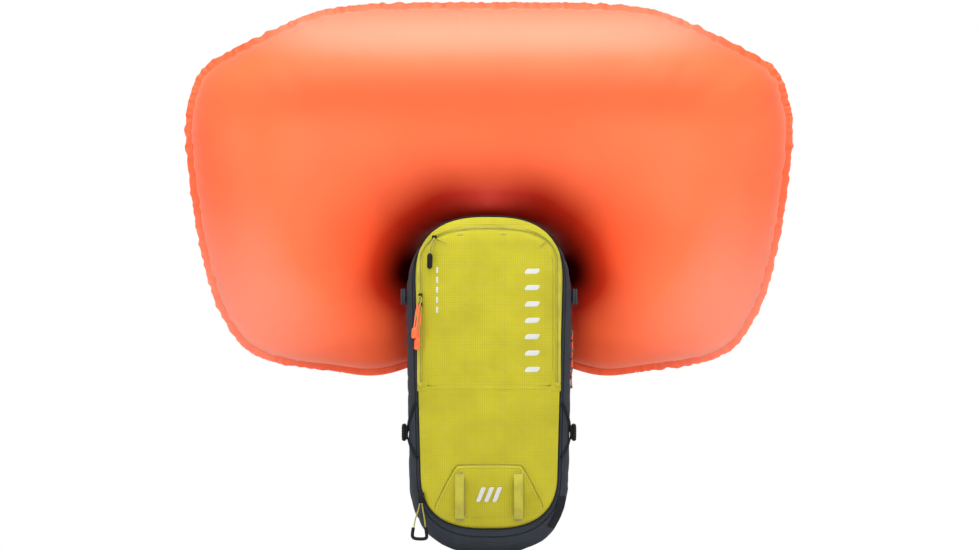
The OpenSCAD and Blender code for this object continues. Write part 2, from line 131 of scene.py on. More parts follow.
def resample(points, count, closed=False):
    """The same line with evenly spaced points."""
    line = list(points) + ([points[0]] if closed else [])
    run = [0.0]
    for a, b in zip(line, line[1:]):
        run.append(run[-1] + math.dist(a, b))
    steps = count if closed else count - 1
    out = []
    k = 0
    for i in range(count):
        at = run[-1] * i / steps
        while k < len(run) - 2 and run[k + 1] < at:
            k += 1
        span = run[k + 1] - run[k]
        out.append(mix_point(line[k], line[k + 1], (at - run[k]) / span if span else 0))
    return out


def spline(points, count):
    """Smooth open curve through the points."""
    padded = [points[0]] + list(points) + [points[-1]]
    out = []
    for f in shares(count - 1):
        t = f * (len(points) - 1)
        k = min(int(t), len(points) - 2)
        u = t - k
        out.append(tuple(
            0.5 * (2 * b + (c - a) * u + (2 * a - 5 * b + 4 * c - d) * u ** 2
                   + (3 * b - a - 3 * c + d) * u ** 3)
            for a, b, c, d in zip(*padded[k:k + 4])
        ))
    return out


# ---------- the pack's outlines and face ----------

def outline(w_low, w_high, z_low, z_high, r_low, r_high, steps=24):
    """Closed (x, z) outline, bottom centre first, anticlockwise seen from the front."""
    curve = []
    for f in shares(steps):
        a = math.radians(90 * (1 - f))
        curve.append((math.cos(a) ** (2 / CURVE_POWER), math.sin(a) ** (2 / CURVE_POWER)))
    right = [(w_low * u, z_low + r_low * (1 - v)) for u, v in curve]
    right += [(w_high * u, z_high - r_high * (1 - v)) for u, v in curve[::-1]]
    return right + [(-x, z) for x, z in right[-2:0:-1]]


def pack_ring(f, d):
    """The pack's outline, 0 at the front rim and 1 at full width, shrunk by d."""
    ring = outline(
        mix(FACE_SLIM, HALF_W - 5, f) - d, mix(FACE_HALF, HALF_W, f) - d,
        mix(FACE_LOW, -BASE_CUT, f) + d, PACK_H - 3 * f - d,
        mix(FACE_LOW_R, BODY_R, f) - d, mix(FACE_TOP_R, BODY_R, f) - d,
    )
    return [(x, max(z, 0.0)) for x, z in ring]


def face_ring(d):
    return outline(
        FACE_SLIM - d, FACE_HALF - d, FACE_LOW + d, PACK_H - d, FACE_LOW_R - d, FACE_TOP_R - d
    )


def door_ring(d):
    return outline(
        DOOR_HALF + d, DOOR_HALF + d, HINGE_Z - 0.15 * d, DOOR_TOP + d, 10, 60 + d
    )


def front_y(x, z):
    """Depth of the bulging front face."""
    across = 1 - min(1.0, abs(x) / FACE_HALF) ** 4
    along = 1 - min(1.0, abs(z - FACE_MID) / (PACK_H - FACE_MID)) ** 4
    return RIM_Y - CROWN * across * along


def reach(z, f=1.0):
    """Half width of the pack at a height, on the outline a share f of the way to full width."""
    foot = mix(FACE_LOW, -BASE_CUT, f)
    head = PACK_H - 3 * f
    low_r = mix(FACE_LOW_R, BODY_R, f)
    top_r = mix(FACE_TOP_R, BODY_R, f)
    straight = (z - foot - low_r) / (head - top_r - foot - low_r)
    width = mix(mix(FACE_SLIM, HALF_W - 5, f), mix(FACE_HALF, HALF_W, f), clamp(straight))
    u = max(0.0, (foot + low_r - z) / low_r, (z - head + top_r) / top_r)
    return width * max(0.0, 1 - u ** CURVE_POWER) ** (1 / CURVE_POWER)


def front_depth(f):
    """Depth at which the shell has reached a share f of its full width."""
    return RIM_Y + 1 + ROUND_D * (1 - math.sqrt(1 - f * f))


def shell_at(z, f, lift, side):
    """Point on the rounded front edge of the shell."""
    return (side * (reach(z, f) + lift), front_depth(f) - lift * (1 - f), z)


def side_at(z, y, lift, side=1):
    """Point on the flat side of the shell."""
    return (side * (reach(z) + lift), y, z)


def face_at(x, z, lift):
    return (x, front_y(x, z) - lift, z)


def face_line(ring, lift):
    """Points of an (x, z) line laid on the face, at one lift or at a lift for each place."""
    return [face_at(x, z, lift(x, z) if callable(lift) else lift) for x, z in ring]


# ---------- meshes ----------

def add_mesh(name, points, faces, material, body):
    """One smooth piece from points in millimetres, with its material, riding on a body."""
    mesh = bpy.data.meshes.new(name)
    mesh.from_pydata([tuple(c * MM for c in p) for p in points], [], faces)
    mesh.update()
    mesh.polygons.foreach_set("use_smooth", [True] * len(mesh.polygons))
    mesh.materials.append(material)
    obj = bpy.data.objects.new(name, mesh)
    bpy.context.scene.collection.objects.link(obj)
    if body:
        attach(obj, body)
    return obj


def stand_for(piece, slot, *nodes):
    """Takes the place of CAD nodes, which it hides; the slot is not used."""
    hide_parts(*nodes)
    return piece


def grid_faces(rows, columns, wrap=True):
    faces = []
    for j in range(rows - 1):
        for i in range(columns if wrap else columns - 1):
            a = j * columns + i
            b = j * columns + (i + 1) % columns
            faces.append((a, b, b + columns, a + columns))
    return faces


def tube_faces(rows, columns, closed=False):
    """Faces of rings joined into a tube, capped at both ends or closed on itself."""
    faces = grid_faces(rows, columns)
    base = (rows - 1) * columns
    if closed:
        for i in range(columns):
            k = (i + 1) % columns
            faces.append((base + i, base + k, k, i))
    else:
        faces.append(tuple(range(columns))[::-1])
        faces.append(tuple(range(base, base + columns)))
    return faces


def loft(name, rings, material, body="pack", wrap=True, caps=True, flip=False):
    """Surface skinned over rings with equal point counts."""
    count = len(rings[0])
    faces = tube_faces(len(rings), count) if caps else grid_faces(len(rings), count, wrap)
    if flip:
        faces = [face[::-1] for face in faces]
    return add_mesh(name, [p for ring in rings for p in ring], faces, material, body)


def pad(name, ring, place, height, material, rows, count, body="pack", roll=0.5, flip=True):
    """Closed soft patch: a puffed front over a flat back, from a ring of (u, v) points."""
    ring = resample(ring, count, closed=True)
    middle = [(min(axis) + max(axis)) / 2 for axis in zip(*ring)]
    levels = []
    for f in shares(rows):
        k = math.sin(math.pi / 2 * max(f, 0.02))
        levels.append((k, height * max(0.0, 1 - k ** 6) ** roll))
    levels += [(k, 0.0) for k in (1.0, 0.5, 0.02)]
    rings = [[place(*mix_point(middle, p, k), rise) for p in ring] for k, rise in levels]
    return loft(name, rings, material, body, flip=flip)


def frames_along(path, across, closed=False):
    """Point, side and up vectors at each point of a path; across is what the sides keep to."""
    points = [Vector(p) for p in path]
    last = len(points) - 1
    out = []
    side = None
    for i, p in enumerate(points):
        if closed:
            tangent = points[(i + 1) % len(points)] - points[i - 1]
        else:
            tangent = points[min(last, i + 1)] - points[max(0, i - 1)]
        tangent.normalize()
        if isinstance(across, list):
            guide = across[i]
        else:
            guide = Vector(across) if across else side
        if guide is None:
            guide = Vector(ALONG_Z if abs(tangent.z) < 0.8 else ALONG_X)
        side = (guide - guide.dot(tangent) * tangent).normalized()
        out.append((p, side, tangent.cross(side)))
    return out


def sweep_parts(path, section, across=None, closed=False, grow=None):
    """Points and faces of a section, or of a function giving it, swept along a path."""
    points = []
    for i, (p, side, up) in enumerate(frames_along(path, across, closed)):
        f = i / max(1, len(path) - 1)
        k = grow(f) if grow else 1.0
        ring = section(f) if callable(section) else section
        points += [tuple(p + side * (a * k) + up * (b * k)) for a, b in ring]
    return points, tube_faces(len(path), len(points) // len(path), closed)


def sweep(name, path, section, material, body="pack", across=None, closed=False):
    return add_mesh(name, *sweep_parts(path, section, across, closed), material, body)


def gather(name, parts, material, body="pack"):
    """One piece from many small meshes."""
    points = []
    faces = []
    for some, polys in parts:
        base = len(points)
        points += some
        faces += [tuple(base + i for i in poly) for poly in polys]
    return add_mesh(name, points, faces, material, body)


def mirrored(parts, side):
    """The same meshes, mirrored across the middle when side is -1."""
    if side > 0:
        return parts
    return [([(-x, y, z) for x, y, z in points], [face[::-1] for face in faces])
            for points, faces in parts]


def pair(name, parts, material, body, slot=None, node=None):
    """A piece on each side, from right-hand meshes or a function that gives a side's meshes."""
    for side, label in SIDES:
        meshes = parts(side) if callable(parts) else parts
        piece = gather(name + label, mirrored(meshes, side), material, body + label)
        if node:
            stand_for(piece, slot, node + label)


# ---------- sections ----------

def rounded_rect(w, d, r, steps=3):
    """Section of half sizes w and d with rounded corners."""
    corners = ((w - r, d - r, 0), (r - w, d - r, 90), (r - w, r - d, 180), (w - r, r - d, 270))
    out = []
    for cx, cy, start in corners:
        for f in shares(steps):
            a = math.radians(start + 90 * f)
            out.append((cx + r * math.cos(a), cy + r * math.sin(a)))
    return out


def box_ring(x0, x1, z0, z1, r):
    """Closed (x, z) outline of a rounded box between two sides, a foot and a top."""
    corners = rounded_rect((x1 - x0) / 2, (z1 - z0) / 2, r, 8)
    return [moved(p, ((x0 + x1) / 2, (z0 + z1) / 2)) for p in corners]


def on_side(ring, side):
    """A ring of (x, z) points on the right side, or mirrored to the left one."""
    return [(side * x, z) for x, z in ring][::side]


def circle(r, sides=8):
    turn = [2 * math.pi * k / sides for k in range(sides)]
    return [(r * math.cos(a), r * math.sin(a)) for a in turn]


def flat_section(width, thick):
    """Webbing section with rounded edges."""
    w = width / 2
    t = thick / 2
    e = min(0.35 * thick + 0.4, w * 0.5)
    return [(w, -t * 0.4), (w, t * 0.4), (w - e, t), (0, t), (e - w, t), (-w, t * 0.4),
            (-w, -t * 0.4), (e - w, -t), (0, -t), (w - e, -t)]


def cushion_section(width, thick, power=CURVE_POWER, count=32):
    """Soft flat section: full in the middle and thinner towards its bound edges."""
    return [tuple(half * math.copysign(abs(v) ** (2 / power), v)
                  for half, v in ((width / 2, u), (thick / 2, w)))
            for u, w in circle(1, count)]


# ---------- small parts, as points and faces ----------

def stack_parts(stations, at):
    """Rounded rectangles stacked as (height, half w, half d, radius, shift), moved to a place."""
    points = []
    for h, w, d, r, shift in stations:
        points += [moved((u + shift, v, h), at) for u, v in rounded_rect(w, d, r)]
    return points, tube_faces(len(stations), len(points) // len(stations))


def soft_box(lo, hi, r, steps=3):
    """Box with rounded edges."""
    w, d, h = [(b - a) / 2 for a, b in zip(lo, hi)]
    turn = [math.radians(90 * f) for f in shares(steps)]
    ends = [(h - r + r * math.cos(a), r * (1 - math.sin(a))) for a in turn]
    heights = [(-z, i) for z, i in ends] + [(z, i) for z, i in ends[::-1]]
    stations = [(z, w - i, d - i, max(r - i, 0.05), 0) for z, i in heights]
    return stack_parts(stations, mix_point(lo, hi, 0.5))


def tape_parts(path, width, thick, across=ALONG_Z):
    return sweep_parts(path, flat_section(width, thick), across)


def cord_parts(knots, count, r):
    """Cord of radius r on a smooth curve through its knots."""
    return sweep_parts(spline(knots, count), circle(r))


def turned_parts(axis, profile, sides=28, ribs=0.0):
    """Surface turned round a vertical axis at (x, y) from (radius, z) stations."""
    points = []
    for r, z in profile:
        for k in range(sides):
            a = 2 * math.pi * k / sides
            wave = 1 + ribs * math.cos(7 * a)
            points.append((axis[0] + r * wave * math.cos(a), axis[1] + r * wave * math.sin(a), z))
    return points, tube_faces(len(profile), sides)


def stitch_parts(path, length=3.0, gap=1.6, r=0.4):
    """Short raised stitches along a path."""
    total = sum(math.dist(a, b) for a, b in zip(path, path[1:]))
    count = max(1, int(total / (length + gap)))
    fine = resample(path, count * 6 + 1)
    return [sweep_parts(fine[6 * i:6 * i + 5], circle(r, 6), grow=lambda f: 0.5 + 2 * f * (1 - f))
            for i in range(count)]


# ---------- materials ----------

class Nodes:
    """Short way to build the node tree of a material or a world."""

    def __init__(self, owner, output="ShaderNodeOutputMaterial"):
        owner.use_nodes = True
        self.owner = owner
        self.tree = owner.node_tree
        self.tree.nodes.clear()
        self.out = self.node(output)

    def node(self, kind, inputs=None, **settings):
        """New node with its settings, and inputs that are numbers, colours or other outputs."""
        node = self.tree.nodes.new(kind)
        for key, value in settings.items():
            setattr(node, key, value)
        for key, value in (inputs or {}).items():
            if isinstance(value, bpy.types.NodeSocket):
                self.tree.links.new(value, node.inputs[key])
            elif isinstance(value, tuple):
                alpha = (1,) if len(node.inputs[key].default_value) > 3 else ()
                node.inputs[key].default_value = value + alpha
            else:
                node.inputs[key].default_value = value
        return node

    def finish(self, shader):
        self.tree.links.new(shader.outputs[0], self.out.inputs["Surface"])
        return self.owner

    def math(self, operation, a, b):
        return self.node("ShaderNodeMath", {0: a, 1: b}, operation=operation).outputs[0]

    def spread(self, base, value, amount):
        """base + amount * value."""
        return self.math("ADD", base, self.math("MULTIPLY", value, amount))

    def place(self):
        """Object coordinates in millimetres."""
        coords = self.node("ShaderNodeTexCoord").outputs["Object"]
        scale = {"Vector": coords, "Scale": 1 / MM}
        return self.node("ShaderNodeVectorMath", scale, operation="SCALE").outputs[0]

    def axes(self, where):
        return self.node("ShaderNodeSeparateXYZ", {"Vector": where}).outputs

    def diagonal(self, where):
        x, y, z = self.axes(where)
        return self.math("ADD", x, self.math("ADD", y, z))

    def lines(self, where, axis, size, width):
        """1 on thin lines every `size` mm along an axis, 0 between."""
        wave = self.math("PINGPONG", self.axes(where)[axis], size / 2)
        return self.math("LESS_THAN", wave, width / 2)

    def squares(self, where, axes, size, width):
        """Lines of a square grid in the plane of two axes."""
        return self.math("MAXIMUM", *(self.lines(where, axis, size, width) for axis in axes))

    def noise(self, where, size, detail=3.0, rough=0.55):
        values = {"Vector": where, "Scale": 1 / size, "Detail": detail, "Roughness": rough}
        return self.node("ShaderNodeTexNoise", values).outputs["Fac"]

    def ramp(self, value, stops):
        node = self.node("ShaderNodeValToRGB", {"Fac": value})
        elements = node.color_ramp.elements
        while len(elements) < len(stops):
            elements.new(0.5)
        for element, (at, colour) in zip(elements, stops):
            element.position = at
            element.color = (*colour, 1)
        return node.outputs["Color"]

    def drift(self, value, colour, low, high):
        """A colour that wanders between a darker and a lighter shade of itself."""
        return self.ramp(value, [(0.3, shade(colour, low)), (0.7, shade(colour, high))])

    def blend(self, fac, a, b, kind="MIX"):
        values = {"Factor": fac, "A": a, "B": b}
        node = self.node("ShaderNodeMix", values, data_type="RGBA", blend_type=kind)
        return node.outputs["Result"]

    def bump(self, height, strength, distance):
        values = {"Height": height, "Strength": strength, "Distance": distance}
        return self.node("ShaderNodeBump", values).outputs["Normal"]

    def shader(self, colour, rough, normal, **values):
        inputs = {key.replace("_", " "): value for key, value in values.items()}
        inputs.update({"Base Color": colour, "Roughness": rough, "Normal": normal})
        return self.node("ShaderNodeBsdfPrincipled", inputs)


def shade(colour, k):
    return tuple(c * k for c in colour)


def start(name):
    """Nodes of a new material, and its object coordinates."""
    n = Nodes(bpy.data.materials.new(name))
    return n, n.place()


def ripstop(name, colour, axes="XZ", relief=0.4):
    """Light nylon with a raised square grid, faint colour drift and fine weave."""
    n, where = start(name)
    grid = n.squares(where, axes, 3.8, 0.8)
    dust = n.noise(where, 0.8, detail=2)
    base = n.drift(n.noise(where, 60), colour, 0.90, 1.08)
    base = n.blend(n.math("MULTIPLY", grid, 0.45), base, shade(colour, 0.62))
    height = n.math("ADD", n.math("MULTIPLY", grid, 0.5), n.math("MULTIPLY", dust, 0.25))
    normal = n.bump(n.spread(height, n.noise(where, 14), 1.2), relief, 0.0006)
    return n.finish(n.shader(base, n.spread(0.6, dust, 0.12), normal, Sheen_Weight=0.02,
                             Sheen_Roughness=0.4, Specular_IOR_Level=0.12))


def webbing(name, colour):
    """Woven tape: ribs across it, a fine twill and a little fuzz."""
    n, where = start(name)
    rows = n.math("PINGPONG", n.axes(where)["Z"], 0.8)
    twill = n.math("PINGPONG", n.diagonal(where), 0.7)
    fuzz = n.noise(where, 0.7)
    base = n.drift(n.noise(where, 25), colour, 0.85, 1.15)
    base = n.blend(n.math("MULTIPLY", twill, 0.45), base, shade(colour, 0.55))
    height = n.math("ADD", n.spread(rows, twill, 0.5), fuzz)
    normal = n.bump(height, 0.6, 0.0005)
    return n.finish(n.shader(base, n.spread(0.7, fuzz, 0.1), normal,
                             Sheen_Weight=0.3, Sheen_Roughness=0.5))


def mesh_knit(name, colour):
    """Padding cloth: open spacer knit over foam."""
    n, where = start(name)
    cell = n.node("ShaderNodeTexVoronoi", {"Vector": where, "Scale": 1 / 3.2, "Randomness": 0.25},
                  feature="F1").outputs["Distance"]
    base = n.drift(n.noise(where, 40), colour, 0.85, 1.2)
    base = n.blend(n.math("LESS_THAN", cell, 0.36), base, shade(colour, 0.35))
    normal = n.bump(n.spread(cell, n.noise(where, 1.0), 0.3), 0.7, 0.0010)
    return n.finish(n.shader(base, 0.85, normal, Sheen_Weight=0.35, Sheen_Roughness=0.5))


def moulded(name, colour, rough=0.42, coat=0.0, gloss=0.5):
    """Moulded plastic: fine spark texture, mottled gloss and paler worn high spots."""
    n, where = start(name)
    spark = n.noise(where, 1.2, detail=4)
    smudge = n.noise(where, 18)
    high = n.node("ShaderNodeNewGeometry").outputs["Pointiness"]
    worn = n.math("MULTIPLY", n.math("GREATER_THAN", high, 0.56), 0.25)
    pale = tuple(min(1.0, c * 1.6 + 0.006) for c in colour)
    base = n.blend(worn, n.drift(smudge, colour, 0.85, 1.15), pale)
    normal = n.bump(spark, 0.25, 0.0003)
    return n.finish(n.shader(base, n.spread(rough - 0.08, smudge, 0.16), normal, Coat_Weight=coat,
                             Coat_Roughness=0.2, Specular_IOR_Level=gloss))


def metal(name, colour, rough=0.32):
    """Bare metal with fine upright brush lines and faint stains."""
    n, where = start(name)
    stretch = n.node("ShaderNodeMapping", {"Vector": where, "Scale": (1.0, 1.0, 0.03)})
    brush = n.noise(stretch.outputs[0], 0.6, detail=4)
    base = n.drift(n.noise(where, 12), colour, 0.82, 1.08)
    normal = n.bump(brush, 0.15, 0.0002)
    return n.finish(n.shader(base, n.spread(rough - 0.1, brush, 0.22), normal, Metallic=1.0))


def coated_nylon(name, colour, glow):
    """Thin coated airbag cloth: light passes through it, with a silky sheen and fine crinkles. Its
    colour also carries painted shade and painted highlight from two point attributes.
    """
    n, where = start(name)
    # Two point attributes of the airbag: painted shade, and painted light that is highlight above 0 and
    # shade below it.
    valley, bloom = (n.node("ShaderNodeAttribute", attribute_name=label).outputs["Fac"]
                     for label in ("valley", "bloom"))
    weave = n.squares(where, "XZ", 5.0, 0.4)
    crinkle = n.noise(where, 9, detail=4, rough=0.6)
    base = n.drift(n.noise(where, 120, detail=2), colour, 0.95, 1.05)
    base = n.blend(n.math("MULTIPLY", weave, 0.08), base, shade(colour, 0.7))
    # Painted shade: the colour is multiplied down to near black where the shade attribute is high.
    painted_shade_ramp = [(0.0, (1, 1, 1)), (0.45, (0.42, 0.10, 0.07)), (1.0, (0.02, 0.0, 0.0))]
    base = n.blend(1.0, base, n.ramp(valley, painted_shade_ramp), kind="MULTIPLY")
    # Painted light: a pale pink highlight where the light attribute is above 0, a deeper red painted
    # shade where it is below 0.
    for sign, tint in ((1.0, (1.0, 0.36, 0.24)), (-1.0, (1.0, 0.085, 0.008))):
        base = n.blend(n.math("MAXIMUM", n.math("MULTIPLY", bloom, sign), 0.0), base, tint)
    # Sheen and shine fade out in the painted shade.
    unshaded = n.math("SUBTRACT", 1.0, valley)
    height = n.spread(n.math("MULTIPLY", crinkle, 1.5), weave, 0.15)
    normal = n.bump(height, 0.12, 0.0012)
    cloth = n.shader(base, n.spread(0.40, crinkle, 0.18), normal, Sheen_Roughness=0.35,
                     Sheen_Weight=n.math("MULTIPLY", unshaded, 0.45), Sheen_Tint=(1.0, 0.75, 0.65),
                     Specular_IOR_Level=n.math("MULTIPLY", unshaded, 0.4))
    through = n.node("ShaderNodeBsdfTranslucent", {"Color": glow, "Normal": normal})
    # Less light passes through the cloth in the painted shade.
    share = n.math("SUBTRACT", 0.22, n.math("MULTIPLY", valley, 0.22))
    both = {0: share, 1: cloth.outputs[0], 2: through.outputs[0]}
    return n.finish(n.node("ShaderNodeMixShader", both))


def plain(name, colour, rough=0.6):
    """Cord and print: a fine twist in the surface."""
    n, where = start(name)
    twist = n.math("PINGPONG", n.diagonal(where), 0.6)
    base = n.blend(n.math("MULTIPLY", twist, 0.5), colour, shade(colour, 0.6))
    normal = n.bump(n.math("ADD", twist, n.noise(where, 0.6)), 0.5, 0.0004)
    return n.finish(n.shader(base, rough, normal, Sheen_Weight=0.2))


LIME = (0.415, 0.375, 0.022)
LIME_DARK = (0.22, 0.20, 0.012)
SLATE = (0.030, 0.036, 0.046)
INK = (0.015, 0.016, 0.019)
CORAL = (1.0, 0.165, 0.05)

lime_cloth = ripstop("lime_ripstop_cloth", LIME)
lime_tape = webbing("lime_webbing_cloth", LIME)
lime_seam = plain("lime_seam_thread", shade(LIME, 0.55))
# Dark lime for the zip coil and seam lines, also used for painted shadow lines at the door's creases
# and beside the tool loops.
lime_dark_and_shadow = plain("lime_dark_line_and_fold_shadow", LIME_DARK)
slate_cloth = ripstop("slate_ripstop_cloth", SLATE, axes="YZ", relief=0.5)
slate_tape = webbing("slate_webbing_cloth", shade(SLATE, 0.8))
black_tape = webbing("black_webbing_cloth", INK)
ink_cloth = ripstop("ink_lining_cloth", shade(SLATE, 0.35))
knit = mesh_knit("padding_knit", shade(SLATE, 1.5))
bag_cloth = coated_nylon("airbag_coated_nylon", CORAL, (1.0, 0.12, 0.03))
coral_cord = plain("coral_cord_braid", (0.88, 0.14, 0.04))
lime_cord = plain("lime_cord_braid", shade(LIME, 0.8))
reflective = plain("pale_reflective_print", (0.56, 0.57, 0.54), rough=0.4)
black_plastic = moulded("black_moulded_plastic", (0.006, 0.006, 0.007), gloss=0.14)
slate_plastic = moulded("slate_moulded_plastic", (0.022, 0.028, 0.038), gloss=0.25)
coral_rubber = moulded("coral_moulded_rubber", (0.90, 0.13, 0.035), rough=0.55, gloss=0.3)


# ---------- airbag ----------

# Right half from foot to crest, as shares of the bag's half width and height.
BAG_EDGE = [
    (0.50, -0.003), (0.70, 0.02), (0.815, 0.065), (0.90, 0.18), (0.947, 0.32),
    (0.977, 0.46), (1.00, 0.64), (0.99, 0.737), (0.95, 0.82), (0.845, 0.877),
    (0.62, 0.965), (0.485, 0.993), (0.33, 1.002), (0.16, 1.004), (0.0, 1.004),
]
NECK_EDGE = [
    (1.00, 0.04), (1.00, 0.12), (1.00, 0.21), (1.00, 0.32), (1.00, 0.44),
    (0.99, 0.56), (0.98, 0.68), (0.95, 0.78), (0.89, 0.86), (0.78, 0.92),
    (0.63, 0.96), (0.47, 0.985), (0.31, 1.00), (0.15, 1.00), (0.0, 1.00),
]
EDGE_SPAN = 2 * (len(BAG_EDGE) - 1)
FOOT_REACH = 5.5
FOOT_SAG = 12
THROAT = 76
BAG_ROWS = 1000
BAG_COLUMNS = 64
FLANGE_ROWS = 4


def bag_line(edge, width, top):
    half = [(x * width, mix(BAG_FOOT, top, z)) for x, z in edge]
    return spline(half + [(-x, z) for x, z in half[-2::-1]], BAG_ROWS)


def line_normals(line, turn):
    """Unit normals of an open (x, z) line, to one side of it."""
    out = []
    for i in range(len(line)):
        a = line[max(0, i - 6)]
        b = line[min(len(line) - 1, i + 6)]
        length = math.dist(a, b)
        out.append((turn * (b[1] - a[1]) / length, turn * (a[0] - b[0]) / length))
    return out


def pucker(run, depth, seed):
    """Fabric gathered at a seam: fine folds at the seam that merge into fewer, longer ones."""
    fine = noise.noise(Vector((run / 8.0, seed, 0.0)))
    medium = noise.noise(Vector((run / 15.0, seed + 7, depth / 40)))
    long = noise.noise(Vector((run / 36.0, seed + 13, depth / 90)))
    return (fine * math.exp(-depth / 8) * 1.7 + medium * math.exp(-depth / 20) * 3.0
            + long * math.exp(-depth / 60) * 3.2)


def bag_height(s, t, x, gap, side):
    """How far the pillow stands off its seam plane; the front bulges over the inlet throat."""
    end = min(s, EDGE_SPAN - s)
    puff = math.sqrt(1 - (1 - min(1.0, end / FOOT_REACH)) ** 2)
    height = BAG_DEPTH * puff * (1 - t * t) ** 0.56
    if side < 0 and t < 0:
        throat = (1 - math.exp(-gap / 3)) * bump(gap, 0, 45) * bump(x, 0, 70)
        height += THROAT * throat * smooth(s / 9) * smooth((EDGE_SPAN - s) / 9)
    return height


def flange_wave(along, over, side):
    """How far out a flange point lies, and how far off the seam plane its ruffles carry it."""
    wavy = 0.26 * grain(along, 0, 0, 16.0, 20.0) + 0.12 * grain(along, 0, 0, 8.0, 4.0)
    ruffle = grain(along, 0, 0, 6.5, 90.0) + 0.8 * grain(along, 0, 0, 17.0, 50.0)
    return FLANGE * over * (1 + wavy), over * (4.0 * ruffle + side * 0.3)


def bag_sheet(side):
    """Front (-1) or back (1) sheet as rows of points from the neck seam to the outer one."""
    outer = bag_line(BAG_EDGE, BAG_HALF, BAG_TOP)
    inner = bag_line(NECK_EDGE, NECK_HALF, NECK_Z)
    outward = line_normals(outer, 1)
    inward = line_normals(inner, -1)
    run = [0.0, 0.0]
    rows = []
    for i, (a, b) in enumerate(zip(inner, outer)):
        if i:
            run[0] += math.dist(a, inner[i - 1])
            run[1] += math.dist(b, outer[i - 1])
        s = i / (BAG_ROWS - 1) * EDGE_SPAN
        sag = FOOT_SAG * math.exp(-min(s, EDGE_SPAN - s) / 1.2)
        width = math.dist(a, b)
        row = []
        for k in range(-FLANGE_ROWS, BAG_COLUMNS + FLANGE_ROWS + 1):
            v = clamp(k / BAG_COLUMNS)
            t = -math.cos(math.pi * v)
            at_neck = v < 0.5
            along = run[0] if at_neck else run[1]
            nx, nz = inward[i] if at_neck else outward[i]
            x, z = mix_point(a, b, (1 + t) / 2)
            z -= sag * math.sin(math.pi * (1 + t) / 2)
            gap = width * (1 - abs(t)) / 2
            y = side * (bag_height(s, t, x, gap, side) + 0.4)
            over = max(0, -k, k - BAG_COLUMNS) / FLANGE_ROWS
            fold = pucker(along, gap, 3.0 if at_neck else 31.0)
            lean = abs(t) ** 6
            out, off = flange_wave(along, over, side)
            push = fold * lean * (1 - over) + out
            x += nx * push
            z += nz * push
            y += off + side * fold * (1 - lean)
            y += side * 2.2 * grain(x, z, 60.0 * side, 110) * math.sin(math.pi * v)
            row.append((x, BAG_Y + y, z))
        rows.append(row)
    return rows


def foot_flange(row, side):
    """Rows that carry the flange on below an arm's end, narrowing to nothing at its corners."""
    out = []
    for k in range(FLANGE_ROWS, 0, -1):
        over = k / FLANGE_ROWS
        ring = []
        for i, (x, y, z) in enumerate(row):
            past = max(0, FLANGE_ROWS - i, i - FLANGE_ROWS - BAG_COLUMNS) / FLANGE_ROWS
            ruffle = grain(x, 0, 0, 7.0, 40.0) + 0.5 * grain(x, 0, 0, 18.0, 5.0)
            drop = FLANGE * over * (1 - past ** 2)
            ring.append((x, y + over * (3.0 * ruffle + side * 0.3), z - drop))
        out.append(ring)
    return out


def painted_shade_at(x, z):
    """Painted shade on the airbag's front: 1 where the cloth is painted darkest, as if shaded where it
    sinks in behind the pack, 0 where it is left unshaded.
    """
    wide = abs(x)
    crest = NECK_Z - 52
    waist = NECK_Z - 90
    # Painted shade in a dome above the pack's top, in hollows beside its shoulders and in a strip along
    # its sides.
    dome = 0.82 * math.exp(-(max(0.0, z - crest) / 114) ** 3 - (wide / 134) ** 4)
    dome *= smooth((z - waist + 2) / 40)
    spread = 95 if z > waist else 64
    hollow = clamp(1.06 * math.exp(-(max(0.0, wide - 140) / 70) ** 2 - ((z - waist) / spread) ** 2))
    strip = 0.22 * math.exp(-(max(0.0, wide - 112) / 60) ** 3) * smooth((crest - z) / 60)
    return 1 - (1 - dome) * (1 - hollow) * (1 - strip)


def painted_light_at(x, z):
    """Painted light on the airbag's front: above 0 a painted highlight, where the cloth looks paler;
    below 0 painted shade, where its colour is deeper.
    """
    wide = abs(x)
    crest_band = bump(z, BAG_TOP - 40, 50) * smooth((470 - wide) / 160)
    arms = smooth((wide - 215) / 230) * smooth((660 - z) / 260)
    belly_band = bump(z, BAG_TOP - 166, 52) * smooth((560 - wide) / 260)
    shoulders = bump(wide, 250, 80) * bump(z, 540, 80)
    # Painted highlight along the crest and on the arms; painted shade across the belly and at the
    # shoulders.
    tint = 0.62 * (crest_band + arms) - 0.8 * belly_band - 0.7 * shoulders
    return (1 - painted_shade_at(x, z)) * tint


def build_airbag():
    for side, label in ((-1, "front"), (1, "back")):
        rows = bag_sheet(side)
        rows = foot_flange(rows[0], side) + rows + foot_flange(rows[-1], side)[::-1]
        piece = loft("airbag_" + label + "_cloth", rows, bag_cloth, wrap=False, caps=False,
                     flip=side > 0)
        # Painted shade and painted light for the front sheet, kept as point attributes; the back sheet
        # gets none.
        for name, shade_at in (("valley", painted_shade_at), ("bloom", painted_light_at)):
            values = [shade_at(x, z) if side < 0 else 0.0 for row in rows for x, _, z in row]
            piece.data.attributes.new(name, "FLOAT", "POINT").data.foreach_set("value", values)
        stand_for(piece, "airbag_nylon", "airbag_" + label)


# ---------- stage ----------

def by_sight(n):
    """1 for what the camera sees directly, 0 for reflected light."""
    return n.node("ShaderNodeLightPath").outputs["Is Camera Ray"]


